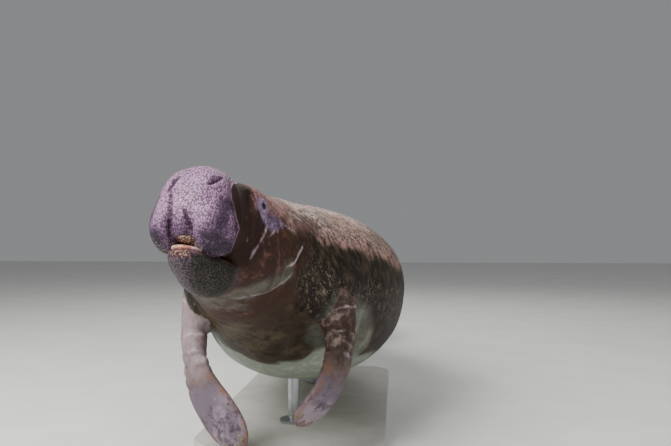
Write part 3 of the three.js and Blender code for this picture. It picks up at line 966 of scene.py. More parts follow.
class Net:
    """A net of quads and triangles that can be refined, relaxed and drawn onto a field."""

    LEAST_RISE = 0.2

    def __init__(self, points: Array, quads: Array) -> None:
        """Takes the points, in mm, and the quads."""
        self.points = points
        self.quads = quads
        self.tris = np.zeros((0, 3), int)

    def edges(self) -> Array:
        """Every edge once.

        Returns:
            Rows of two point numbers.
        """
        rows = [self.quads[:, [k, (k + 1) % 4]] for k in range(4)]
        rows += [self.tris[:, [k, (k + 1) % 3]] for k in range(3)]
        return np.unique(np.sort(np.vstack(rows), axis=1), axis=0)

    def refine(self, near: Callable[[Array], Array]) -> None:
        """Splits quads in four where a test says so, with fans of triangles round them.

        Args:
            near: Takes the quads' middles in mm and tells which are split.
        """
        chosen = near(self.points[self.quads].mean(axis=1))
        split, kept = self.quads[chosen], self.quads[~chosen]
        count = len(self.points)
        ends = np.vstack([split[:, [k, (k + 1) % 4]] for k in range(4)])
        keys, place = np.unique(np.sort(ends, axis=1) @ [count, 1], return_inverse=True)
        middles = (self.points[keys // count] + self.points[keys % count]) / 2
        mid = place.reshape(4, len(split)).T + count
        heart = np.arange(len(split)) + count + len(keys)
        quarters = [
            np.stack([split[:, k], mid[:, k], heart, mid[:, k - 1]], axis=1) for k in range(4)
        ]
        kept_keys = np.stack(
            [np.sort(kept[:, [k, (k + 1) % 4]], axis=1) @ [count, 1] for k in range(4)], axis=1
        )
        at = np.searchsorted(keys, kept_keys).clip(0, len(keys) - 1)
        broken = keys[at] == kept_keys
        fanned = broken.any(axis=1)
        fan_heart = np.full(len(kept), -1)
        fan_heart[fanned] = np.arange(fanned.sum()) + count + len(keys) + len(split)
        fans = []
        for k in range(4):
            a, b, e = kept[:, k], kept[:, (k + 1) % 4], fan_heart
            cut, whole = fanned & broken[:, k], fanned & ~broken[:, k]
            m = at[:, k] + count
            fans.append(np.stack([a, m, e], axis=1)[cut])
            fans.append(np.stack([m, b, e], axis=1)[cut])
            fans.append(np.stack([a, b, e], axis=1)[whole])
        hearts = self.points[split].mean(axis=1)
        fan_hearts = self.points[kept[fanned]].mean(axis=1)
        self.points = np.vstack([self.points, middles, hearts, fan_hearts])
        self.quads = np.vstack([kept[~fanned], *quarters])
        self.tris = np.vstack([self.tris, *fans])

    def relax(self, times: int, share: float, held: Array | None = None) -> None:
        """Moves each point towards the middle of its neighbours.

        Args:
            times: How often.
            share: How far towards the middle each time.
            held: How much each point gives way, from 0 to 1.
        """
        edges = self.edges()
        both = np.vstack([edges, edges[:, ::-1]])
        number = len(self.points)
        count = np.bincount(both[:, 0], minlength=number)[:, None]
        give = share if held is None else share * held[:, None]
        for _ in range(times):
            sums = np.stack(
                [np.bincount(both[:, 0], self.points[both[:, 1], k], number) for k in range(3)], axis=1
            )
            self.points += give * (sums / np.maximum(count, 1) - self.points)

    def project(self, form: Field, slope: Callable, times: int, most: float = 4.0) -> None:
        """Draws the points onto a field's surface.

        Args:
            form: The distance field.
            slope: Function that gives the field's slope at points.
            times: How often.
            most: The furthest step, in mm.
        """
        for _ in range(times):
            rise, _ = slope(form, self.points)
            steep = np.maximum(np.sum(rise * rise, axis=1), self.LEAST_RISE)
            step = -rise * (form(self.points) / steep)[:, None]
            length = np.linalg.norm(step, axis=1, keepdims=True)
            self.points += step * np.minimum(1.0, most / np.maximum(length, 1e-9))

    def normals(self) -> Array:
        """Direction that the net faces at each point.

        Returns:
            The directions.
        """
        total = np.zeros_like(self.points)
        for face in (self.quads, self.tris):
            if not len(face):
                continue
            p = self.points[face]
            facing = np.cross(p[:, 2] - p[:, 0], p[:, -1] - p[:, 1])
            if face.shape[1] == 3:
                facing = np.cross(p[:, 1] - p[:, 0], p[:, 2] - p[:, 0])
            for k in range(face.shape[1]):
                for axis in range(3):
                    total[:, axis] += np.bincount(face[:, k], facing[:, axis], len(total))
        return unit(total)


def make_mesh(name: str, points: Array, faces: list[Array]) -> Piece:
    """Makes a smooth-shaded object in the scene.

    Args:
        name: Name of the piece.
        points: Points in metres.
        faces: Arrays of faces, one for each number of corners.

    Returns:
        The object.
    """
    mesh = bpy.data.meshes.new(name)
    corners = np.concatenate([f.reshape(-1) for f in faces]).astype(np.int32)
    sizes = np.concatenate([np.full(len(f), f.shape[1]) for f in faces]).astype(np.int32)
    mesh.vertices.add(len(points))
    mesh.vertices.foreach_set("co", points.astype(np.float32).ravel())
    mesh.loops.add(len(corners))
    mesh.loops.foreach_set("vertex_index", corners)
    mesh.polygons.add(len(sizes))
    starts = np.concatenate([[0], np.cumsum(sizes)[:-1]]).astype(np.int32)
    mesh.polygons.foreach_set("loop_start", starts)
    mesh.polygons.foreach_set("loop_total", sizes)
    mesh.polygons.foreach_set("use_smooth", np.ones(len(sizes), bool))
    mesh.update(calc_edges=True)
    mesh.validate()
    piece = bpy.data.objects.new(name, mesh)
    bpy.context.scene.collection.objects.link(piece)
    return piece


def paint(piece: Piece, name: str, values: Array) -> None:
    """Keeps a number or a vector for each point, for the piece's material to read.

    Args:
        piece: The piece.
        name: Name that the material reads.
        values: The numbers or vectors.
    """
    kind, slot = ("FLOAT", "value") if values.ndim == 1 else ("FLOAT_VECTOR", "vector")
    layer = piece.data.attributes.new(name, kind, "POINT")
    layer.data.foreach_set(slot, values.astype(np.float32).ravel())


def linear(shade: str, alpha: float = 1.0) -> tuple[float, float, float, float]:
    """Turns an sRGB hex value to linear colour.

    Args:
        shade: The hex value.
        alpha: How much it covers.

    Returns:
        Red, green, blue and alpha.
    """
    parts = [int(shade[k : k + 2], 16) / 255 for k in (1, 3, 5)]
    r, g, b = (v / 12.92 if v <= 0.04045 else ((v + 0.055) / 1.055) ** 2.4 for v in parts)
    return (r, g, b, alpha)


def add_node(
    tree: Tree,
    kind: str,
    settings: dict[Any, Any] | None = None,
    links: dict[Any, Any] | None = None,
) -> bpy.types.Node:
    """Adds one node with its settings and links.

    Args:
        tree: The node tree.
        kind: The node's type.
        settings: Values by socket name or number, or by the node's own property. Stops set a ramp.
        links: Output sockets by the name or number of the input that they feed.

    Returns:
        The node.
    """
    node = tree.nodes.new(kind)
    values = dict(settings or {})
    for place, (at, shade) in enumerate(values.pop("stops", [])):
        stops = node.color_ramp.elements
        stop = stops[place] if place < 2 else stops.new(at)
        stop.position, stop.color = at, shade
    for name, value in values.items():
        if isinstance(name, str) and hasattr(node, name):
            setattr(node, name, value)
    for name, value in values.items():
        if isinstance(name, int) or not hasattr(node, name):
            node.inputs[name].default_value = value
    for name, source in (links or {}).items():
        tree.links.new(source, node.inputs[name])
    return node


@dataclass(frozen=True)
class Stroke:
    """A fold, ridge or marking that follows a line on the skin, some with painted shade or painted highlight.

    Attributes:
        mark: Name of the marking that it adds to.
        points: Places it passes on the animal's left side, in mm.
        width: Half width, in mm.
        strength: How strong the marking is, from 0 to 1.
        depth: How deep the skin is pressed in, in mm, less than 0 for a ridge.
        ragged: How uneven its edge is, as a share of its width.
    """

    mark: str
    points: tuple[Triple, ...]
    width: float
    strength: float
    depth: float = 0.0
    ragged: float = 0.35


# Pale strokes are partly pale folds and scars and partly painted highlight on lit ridges; crease strokes
# carry painted shade.
FACE_STROKES = (
    Stroke("crease", (
        (60, 84, 124), (80, 62, 92), (93, 55, 52), (103, 66, 8), (106, 86, -30), (99, 108, -64),
    ), 9, 0.8, 1.8),
    # A pale line along the muzzle's top edge, over a low ridge, is a painted line of light.
    Stroke("pale", ((58, 62, 118), (74, 43, 86), (88, 38, 48), (97, 46, 12), (100, 66, -26)), 3, 0.7, -0.5),
    Stroke("crease", ((49, 38, -76), (60, 80, -74), (78, 125, -70), (100, 152, -64)), 6, 1, 2),
    # Dark skin with painted shade behind the muzzle.
    Stroke("behind", (
        (80, 118, 104), (102, 112, 62), (114, 118, 10), (114, 124, -36), (100, 140, -66),
    ), 42, 1, 0, 0.25),
    Stroke("behind", ((84, 84, 100), (99, 82, 54), (105, 92, 4), (106, 106, -42)), 26, 1, 0, 0.2),
    Stroke("behind", ((112, 176, 30), (114, 168, -10), (112, 180, -50)), 24, 0.9, 0, 0.3),
    Stroke("pale", ((98, 140, 94), (106, 152, 74), (113, 163, 56)), 2.2, 0.8, -0.8),
    Stroke("pale", ((106, 112, 34), (108, 128, 2), (106, 146, -31)), 2.0, 0.75, -0.8),
    Stroke("pale", (
        (124, 214, 44), (125, 198, 12), (123, 178, -18), (116, 166, -48), (108, 168, -72),
    ), 5, 0.9, -3.0),
    Stroke("crease", ((119, 203, 44), (119, 187, 10), (116, 168, -20), (109, 156, -50)), 7, 0.9, 4),
    # Painted highlight on a lit ridge of the cheek.
    Stroke("pale", ((134, 250, 36), (133, 232, 18), (129, 206, -2), (125, 190, -18)), 3.6, 0.85, -2.0),
    Stroke("crease", ((131, 242, 40), (129, 222, 20), (126, 205, 6)), 4, 0.5, 2),
    Stroke("lilac", ((118, 176, 74), (122, 196, 58), (128, 222, 46), (134, 252, 44)), 21, 0.85, 0, 0.4),
    Stroke("lilac", ((128, 236, 74), (134, 262, 60), (137, 282, 58)), 17, 0.7, 0, 0.5),
    Stroke("pale", ((135, 281, 60), (144, 308, 56), (154, 338, 50)), 2.6, 0.9, -1.0),
    Stroke("pale", ((135, 281, 60), (139, 268, 42), (138, 255, 24)), 3.6, 0.85, -1.0),
    Stroke("pale", ((135, 281, 60), (128, 276, 78), (117, 270, 96)), 4.2, 0.6, -1.0),
    Stroke("pale", ((135, 281, 60), (131, 262, 62), (126, 240, 66)), 3.4, 0.5, -0.8),
    Stroke("pale", ((117, 178, 60), (119, 186, 52), (123, 198, 50)), 6.5, 1.0, -1.4),
    Stroke("face_rust", ((140, 280, 20), (150, 310, 10), (156, 330, -16)), 26, 0.75, 0, 0.6),
    Stroke("face_rust", ((128, 214, -40), (136, 250, -50), (142, 280, -62)), 24, 0.5, 0, 0.6),
    Stroke("face_rust", ((70, 180, 128), (84, 250, 136), (96, 330, 140)), 30, 0.55, 0, 0.6),
)
NECK_STROKES = (
    # Painted highlight on the lit upper side of the first neck fold, and painted shade in the crease under
    # it.
    Stroke("pale", ((171, 372, 26), (168, 360, 0), (161, 343, -31), (153, 313, -52)), 5.5, 0.9, -3.6),
    Stroke("crease", ((175, 382, 20), (172, 370, -8), (166, 352, -40), (157, 322, -60)), 6, 0.6, 4.0),
    Stroke("pale", (
        (162, 356, -48), (150, 334, -80), (128, 288, -112), (102, 248, -134), (44, 236, -151),
    ), 7, 0.6, -3.4),
    Stroke("crease", ((166, 372, -58), (152, 346, -92), (130, 300, -124), (100, 258, -146)), 7, 0.4, 4.5),
    Stroke("face_green", (
        (150, 330, -62), (128, 270, -96), (96, 236, -124), (40, 222, -150), (0, 220, -156),
    ), 36, 0.95, 0, 0.4),
    Stroke("face_green", ((60, 300, -176), (20, 270, -168), (0, 262, -166)), 30, 0.7, 0, 0.5),
    Stroke("pale", ((116, 340, -140), (70, 300, -168), (0, 286, -176)), 3.5, 0.25, -1.6),
    Stroke("crease", ((130, 400, -160), (80, 352, -184), (0, 330, -190)), 7, 0.2, 2.6),
    Stroke("crease", ((170, 430, -130), (120, 430, -190), (0, 410, -212)), 8, 0.15, 2.4),
)
BODY_STROKES = (
    # Dark strokes are partly dark skin and partly painted shade, over the flank, under the flipper's root and
    # underneath.
    Stroke("dark", (
        (176, 392, -24), (200, 462, -72), (256, 565, -78), (300, 700, -72), (330, 850, -78),
        (352, 1080, -84), (340, 1400, -84),
    ), 96, 1, 0, 0.5),
    Stroke("dark", (
        (186, 420, 20), (236, 520, 20), (282, 640, 10), (316, 800, -6), (340, 1000, -20),
    ), 60, 0.7, 0, 0.6),
    Stroke("dark", ((162, 420, -112), (190, 480, -130), (214, 478, -104)), 30, 0.9, 0, 0.4),
    Stroke("dark", ((300, 900, -190), (300, 1080, -210), (270, 1380, -190)), 60, 0.8, 0, 0.5),
    Stroke("dark", ((-60, 560, -272), (0, 556, -272), (60, 560, -272)), 26, 0.35, 0, 0.8),
    Stroke("rust", ((150, 585, 164), (176, 640, 166), (206, 690, 160)), 36, 0.85, 0, 0.6),
    Stroke("rust", ((230, 740, 140), (262, 850, 130), (270, 980, 130)), 34, 0.4, 0, 0.8),
    Stroke("bare", (
        (232, 512, -122), (204, 524, -164), (172, 556, -208), (168, 620, -240),
    ), 36, 0.95, 0, 0.3),
    Stroke("bare", (
        (270, 640, -140), (268, 700, -160), (258, 770, -196), (236, 820, -236),
    ), 60, 0.95, 0, 0.3),
    Stroke("bare", ((200, 620, -250), (220, 720, -262), (226, 800, -270)), 46, 0.7, 0, 0.3),
    Stroke("pale", ((240, 476, -78), (228, 490, -106), (206, 490, -138), (176, 494, -166)), 4.0, 0.5, -3.5),
    Stroke("crease", ((250, 486, -96), (236, 500, -122), (214, 502, -150), (190, 512, -178)), 9, 0.25, 6),
    Stroke("pale", (
        (196, 520, -188), (208, 504, -160), (230, 504, -138), (254, 518, -126), (272, 548, -120),
        (276, 600, -120), (268, 650, -136), (256, 700, -166),
    ), 4.5, 0.9, -4.5),
    Stroke("crease", (
        (238, 494, -128), (262, 512, -112), (282, 548, -104), (286, 610, -104), (280, 668, -122),
        (266, 722, -156),
    ), 9, 0.2, 7),
)


@dataclass
class Skin:
    """The one skin over muzzle, head, neck, trunk, tail and flippers.

    Attributes:
        eye_ring: Radius round each eye that is netted finer, in mm.
        muzzle_edge: Height and distance back of the muzzle's rear edge.
        mirror_shift: How far the right side's markings stray from the left's.
        thin_stroke: Half width under which a stroke is a line and not an area.
        wrist_rings: Shares of the flipper's length where wrinkles ring it.
        wrist_bands: Shares where pale bands do.
        points: Its points before the relief, once it is built.
    """

    animal: Animal
    grid: SkinGrid = field(default_factory=SkinGrid)
    eye_ring: float = 30.0
    weld_mm: float = 0.01
    # Centre and half sizes of the painted highlight over the upper front of the muzzle.
    muzzle_highlight_at: Triple = (10, 30, 40)
    muzzle_highlight_half: Triple = (80, 110, 85)
    lip_at: Triple = (5, 22, -92)
    lip_half: Triple = (36, 32, 13)
    muzzle_edge: tuple[tuple[float, float], ...] = (
        (-110, 110), (-66, 112), (-30, 90), (10, 68), (52, 56), (92, 62), (124, 84),
    )
    muzzle_edge_top: float = 134.0
    mouth: Ellipsoid = Ellipsoid((5, 40, -70), (52, 46, 26))
    face_reach: float = 150.0
    cut_margin: float = 7.0
    lid_share: float = 0.7
    mirror_shift: float = 5.0
    thin_stroke: float = 15.0
    stroke_end: float = 0.12
    # Of these, crease is painted shade, dark and behind are partly painted shade and pale is partly painted
    # highlight.
    marks: tuple[str, ...] = (
        "crease", "pale", "dark", "behind", "lilac", "rust", "face_rust", "face_green", "bare",
    )
    wrist_rings: tuple[float, ...] = (0.32, 0.37, 0.42, 0.47, 0.53, 0.6)
    wrist_bands: tuple[float, ...] = (0.345, 0.445, 0.5)
    nodes: tuple[str, ...] = (
        "muzzle", "lower_jaw", "head", "neck", "shoulders", "torso", "loin", "tail_stock",
        "tail_paddle", "flipper_left_arm", "flipper_left_blade", "flipper_right_arm",
        "flipper_right_blade",
    )
    points: Array = field(default_factory=lambda: np.zeros((0, 3)))
    normals: Array = field(default_factory=lambda: np.zeros((0, 3)))

    def build(self) -> Piece:
        """Makes the skin.

        Returns:
            The piece, with the marks that its material reads.
        """
        net = Net(*self.grid.mesh(self.animal.plain))
        net.project(self.animal.plain, self.animal.outward, 2)
        net.relax(3, 0.5)
        net.refine(self._near_face_cuts)
        net.refine(self._near_eyes)
        for _ in range(3):
            net.project(self.animal.full, self.animal.outward, 1)
            net.relax(1, 0.4)
        net.project(self.animal.full, self.animal.outward, 2, 2.0)
        rest = net.points.copy()
        self.points, self.normals = rest, net.normals()
        height, marks = self._follow_strokes(rest)
        for name, values in self._regions(rest).items():
            marks[name] = np.maximum(marks.get(name, 0), values)
        smooth = np.maximum(np.maximum(marks["bare"], marks["pebbled"]), 0.7 * marks["blade"])
        marks["rough"] = 1 - np.maximum(smooth, 0.4 * marks["belly"])
        marks["coated"] = np.maximum(marks["back"], marks["dark"])
        wander = 0.02 * Ripples(8)(rest, (30, 30, 40)) + 0.02 * Ripples(13)(rest, (60, 60, 60))
        for number, ring in enumerate(self.wrist_bands):
            patch = smoothstep(Ripples(17 + number)(rest, (60, 60, 50)), -0.5, 0.3)
            band = 0.7 * patch * np.exp(-(((marks["limb"] - ring + wander) / 0.016) ** 2))
            marks["pale"] = np.maximum(marks["pale"], band)
        marks["netted"] = np.maximum(0.55 * marks["arm"], 0.8 * marks["head"] * marks["rough"])
        height += self._relief(rest, marks)
        # The shape alone needs the place along the limb, and no material reads it.
        marks.pop("limb")
        net.points = net.points + net.normals() * height[:, None]
        piece = make_mesh("manatee_skin", self.animal.spine.pose(net.points), [net.quads, net.tris])
        paint(piece, "rest", rest * MM)
        paint(piece, "lay", self._lay(rest) * MM)
        for name, values in marks.items():
            paint(piece, name, np.clip(values, 0, 1))
        self._weld(piece)
        return piece

    def _weld(self, piece: Piece) -> None:
        """Joins points that lie on each other, which takes out faces without any area.

        Args:
            piece: The skin.
        """
        work = bmesh.new()
        work.from_mesh(piece.data)
        bmesh.ops.remove_doubles(work, verts=work.verts, dist=self.weld_mm * MM)
        work.to_mesh(piece.data)
        work.free()

    def _near_face_cuts(self, middles: Array) -> Array:
        """Tells which places lie near the mouth, the nostrils, the lip grooves and the eyes.

        Args:
            middles: Places in mm.

        Returns:
            Whether each is near.
        """
        near = np.zeros(len(middles), bool)
        front = np.flatnonzero(middles[:, 1] < self.face_reach)
        for route, groove in self.animal.cuts:
            gap, _ = route.nearest(middles[front])
            near[front[gap < groove.radius + self.cut_margin]] = True
        near |= self.mouth.distance(middles) < 0
        return near | self._within_eye(middles, self.eye_ring)

    def _near_eyes(self, middles: Array) -> Array:
        """Tells which places lie on the lids."""
        return self._within_eye(middles, self.lid_share * self.eye_ring)

    def _within_eye(self, middles: Array, reach: float) -> Array:
        """Tells which places lie within reach of an eye, in mm."""
        seats = self.animal.eyes.values()
        return np.any([np.linalg.norm(middles - seat.skin, axis=1) < reach for seat in seats], axis=0)

    def _follow_strokes(self, rest: Array) -> tuple[Array, dict[str, Array]]:
        """Lays every fold and marking on both sides, painted shade and painted highlight among them.

        Args:
            rest: Points of the straight animal, in mm.

        Returns:
            The height that they add in mm, and the strength of each marking.
        """
        height = np.zeros(len(rest))
        marks = {name: np.zeros(len(rest)) for name in self.marks}
        broad, small = Ripples(21), Ripples(5)
        for side in Side:
            for number, stroke in enumerate(FACE_STROKES + NECK_STROKES + BODY_STROKES):
                shift = 0.0 if side is Side.LEFT else self.mirror_shift * math.sin(number)
                points = np.array(stroke.points, float) * [side.value, 1, 1] + [0, shift, -shift]
                reach = 2.6 * stroke.width + 6
                low, high = points.min(axis=0) - reach, points.max(axis=0) + reach
                at = np.flatnonzero(((rest > low) & (rest < high)).all(axis=1))
                gap, share = Route(points.tolist(), 4 * len(points) + 1).nearest(rest[at])
                size = max(stroke.width, 6.0)
                uneven = broad(rest[at], (2.2 * size,) * 3) + 0.5 * small(rest[at], (0.9 * size,) * 3)
                edge = gap / stroke.width + stroke.ragged * uneven
                ends = smoothstep(share, 0, self.stroke_end) * smoothstep(1 - share, 0, self.stroke_end)
                if stroke.width < self.thin_stroke:
                    values = np.exp(-np.maximum(edge, 0) ** 2) * (0.25 + 0.75 * ends)
                else:
                    values = 1 - smoothstep(edge, 0.3, 1.5)
                marks[stroke.mark][at] = np.maximum(marks[stroke.mark][at], stroke.strength * values)
                height[at] -= stroke.depth * ends * np.exp(-((gap / stroke.width) ** 2))
        return height, marks

    def _regions(self, rest: Array) -> dict[str, Array]:
        """Where the larger regions of colour, painted shade and painted highlight lie.

        Args:
            rest: Points of the straight animal, in mm.

        Returns:
            Strength of each region at each point, by name.
        """
        # Each number is a place in mm where a region starts or is full, or a share of a length.
        x, y, z = np.abs(rest[:, 0]), rest[:, 1], rest[:, 2]
        drift = Ripples(33)(rest, (60, 90, 60))
        limb, rim = np.zeros(len(rest)), np.zeros(len(rest))
        for flipper in self.animal.flippers:
            near = flipper.near(rest)
            share, across, out, _ = flipper.coordinates(rest[near])
            wide, thick = flipper.stations(share, 1), flipper.stations(share, 2)
            onto = np.maximum(np.abs(across) / wide, np.abs(out) / thick) < 1.12
            limb[near] = np.maximum(limb[near], np.where(onto, share, 0.0))
            edge = smoothstep(np.abs(across) / wide, 0.55, 0.98) * smoothstep(share, 0.5, 0.6)
            tip = smoothstep(share, 0.9, 0.99)
            rim[near] = np.maximum(rim[near], np.where(onto, np.maximum(edge, tip), 0.0))
        sections = self.animal.trunk.sections
        level = np.where(z > 0, z / sections(y, 2), z / sections(y, 3))
        body = 1 - smoothstep(limb, 0.12, 0.2)
        edge = np.interp(z, *np.array(self.muzzle_edge).T)
        edge += (self.muzzle_edge_top - edge) * smoothstep(84 - x, 0, 26) * smoothstep(z, 40, 90)
        muzzle = 1 - smoothstep(y - edge + 4 * drift, -4, 8)
        jaw = smoothstep(-z, 80, 92) * (1 - smoothstep(y + 0.3 * x + 24 * drift, 150, 240))
        eye = np.zeros(len(rest))
        lid = np.zeros(len(rest))
        for seat in self.animal.eyes.values():
            gap = np.linalg.norm((rest - seat.skin) / np.array([1.0, 1.3, 1.0]), axis=1)
            eye = np.maximum(eye, 1 - smoothstep(gap + 7 * drift, 12, 34))
            lid = np.maximum(lid, 1 - smoothstep(gap, 7, 13))
        # Painted shade along the lip grooves.
        slit = np.zeros(len(rest))
        for route, groove in self.animal.cuts:
            gap, _ = route.nearest(rest)
            slit = np.maximum(slit, np.exp(-((gap / (0.95 * groove.radius)) ** 2)))
        # Painted shade under the lobes of the upper lip.
        lobe_underside_shade = smoothstep(-z, 10, 60) * smoothstep(x, 34, 62) * (1 - smoothstep(-z, 84, 92))
        muzzle = muzzle * (z > -82) * (1 - jaw)
        # Painted highlight over the upper front of the muzzle.
        front_way = np.linalg.norm((rest - self.muzzle_highlight_at) / np.array(self.muzzle_highlight_half), axis=1)
        front = 1 - smoothstep(front_way, 0.3, 1.2)
        # Painted shadow in a band down each side of the muzzle, beside the lobes.
        band = np.exp(-(((x - 88 - 8 * drift) / 19) ** 2))
        band = band * smoothstep(z, -60, -10) * (1 - smoothstep(z, 40, 90))
        back = smoothstep(level + 0.00022 * (y - 450) + 0.10 * drift, 0.12, 0.5)
        back = back * smoothstep(y + 60 * drift, 250, 420) * body
        # Pale underside, partly its own paler skin and partly painted light reflected up from below.
        belly = smoothstep(-level + 0.06 * drift, 0.62, 0.84) * smoothstep(y + 40 * drift, 600, 690) * body
        lip_way = np.linalg.norm((rest - self.lip_at) / np.array(self.lip_half), axis=1)
        arm_ends, blade = smoothstep(limb, 0.12, 0.19), smoothstep(limb + 0.05 * drift, 0.42, 0.84)
        crown = smoothstep(z, 36, 92) * smoothstep(y, 118, 165) * (1 - smoothstep(y + 90 * drift, 280, 460))
        shoulder = back * (1 - smoothstep(y + 160 * drift, 760, 1500))
        return dict(
            muzzle=muzzle, pebbled=np.maximum(muzzle, jaw), bright=muzzle * front, band=muzzle * band,
            jaw=jaw, jaw_side=jaw * smoothstep(rest[:, 0] - 0.3 * z, 30, 90),
            # The lower muzzle is darkened here with painted shade.
            low=(smoothstep(40 - z, 0, 110) * 0.75 + 0.25 * smoothstep(-z, 60, 120)) * muzzle,
            lobe=lobe_underside_shade * muzzle, lip=np.exp(-(lip_way**4)),
            head=1 - smoothstep(y + 90 * drift, 240, 560), back=back, crown=crown, shoulder=shoulder,
            # The top of the shoulders carries a painted highlight.
            crest=shoulder * smoothstep(level + 0.1 * drift, 0.4, 0.85), belly=belly, lilac=eye,
            lids=lid, slit=slit, limb=limb, arm=arm_ends * (1 - blade),
            arm_left=arm_ends * (1 - blade) * (rest[:, 0] > 0),
            arm_right=arm_ends * (1 - blade) * (rest[:, 0] < 0), blade=blade, rim=rim,
        )

    def _lay(self, rest: Array) -> Array:
        """Place of each point unrolled from the body: round it, then back, leaning backwards.

        Args:
            rest: Points of the straight animal, in mm.

        Returns:
            The unrolled places, in mm.
        """
        sections = self.animal.trunk.sections
        radius = (sections(rest[:, 1], 1) + sections(rest[:, 1], 2)) / 2
        round_body = np.arctan2(rest[:, 0], rest[:, 2] + 20) * radius
        return np.stack([round_body, rest[:, 1] - 0.45 * np.abs(round_body), 0 * radius], axis=1)

    def _relief(self, rest: Array, marks: dict[str, Array]) -> Array:
        """Height of grooves, wrinkles and gentle unevenness over the smooth form, in mm.

        Args:
            rest: Points of the straight animal, in mm.
            marks: Strength of each marking at each point.

        Returns:
            The height at each point.
        """
        # Each line has a height, the size of its ripples and where they start and end, in mm.
        y, limb = rest[:, 1], marks["limb"]
        broad, fine, net = Ripples(3), Ripples(8), Ripples(13)
        body = smoothstep(y, 250, 600) * (1 - smoothstep(limb, 0.1, 0.3))
        height = 2.4 * broad(rest, (110, 150, 110)) * body
        rough = smoothstep(y, 150, 400) * (1 - 0.6 * smoothstep(limb, 0.5, 0.8))
        height += 0.8 * fine(rest, (34, 26, 34)) * rough
        height += 0.7 * net(rest, (15, 12, 22)) * smoothstep(y, 100, 160) * (1 - smoothstep(y, 420, 700))
        neck = np.sin(y / 8.5 + 2.2 * broad(rest, (80, 60, 80)))
        on_neck = smoothstep(y, 240, 330) * (1 - smoothstep(y, 430, 620)) * (1 - smoothstep(limb, 0.0, 0.1))
        height += 0.8 * neck * on_neck
        stock = np.sin(y / 10 + 2 * broad(rest, (90, 60, 90)))
        height += 0.9 * stock * smoothstep(y, 1900, 2060) * (1 - smoothstep(y, 2200, 2400))
        wander = 0.02 * fine(rest, (30, 30, 40)) + 0.02 * net(rest, (60, 60, 60))
        for number, ring in enumerate(self.wrist_rings):
            patch = smoothstep(net(rest, (70, 70, 50)) + 0.5 * math.cos(2.1 * number), -0.35, 0.25)
            height -= 4.6 * patch * np.exp(-(((limb - ring + wander) / 0.013) ** 2))
        for route, groove in self.animal.cuts:
            gap, share = route.nearest(rest)
            taper = 0.35 + 0.65 * np.sin(np.pi * share)
            height -= groove.depth * taper * np.exp(-((gap / (groove.radius * taper)) ** 2))
        return height


@dataclass(frozen=True)
class Texture:
    """A procedural pattern at its real size.

    Attributes:
        size_mm: Size of its largest patches or of one cell.
        kind: The pattern's node.
        place: Attribute that it follows, or empty for the piece's own place.
        drawn: Scale along each axis, less than 1 where it is drawn out.
        settings: The node's own settings.
    """

    size_mm: float
    kind: str = "ShaderNodeTexNoise"
    place: str = ""
    drawn: Triple = (1.0, 1.0, 1.0)
    settings: tuple[tuple[str, Any], ...] = (("Detail", 5.0), ("Roughness", 0.65))


@dataclass(frozen=True)
class Layer:
    """One colour laid over those before it.

    Attributes:
        shade: The colour.
        texture: Pattern that breaks it up.
        low: Where it begins to show, between the marking's 0 and 1.
        high: Where it covers.
        spread: How strongly the pattern shifts that, less than 0 to follow the pattern's low parts.
        mark: Marking that it stays inside, or empty for the whole piece.
        share: How much it covers at most.
    """

    shade: str
    texture: str
    low: float
    high: float
    spread: float
    mark: str = ""
    share: float = 1.0


@dataclass(frozen=True)
class Relief:
    """Fine relief from a pattern: its height in mm and the marking that it stays inside."""

    texture: str
    height_mm: float
    mark: str = ""


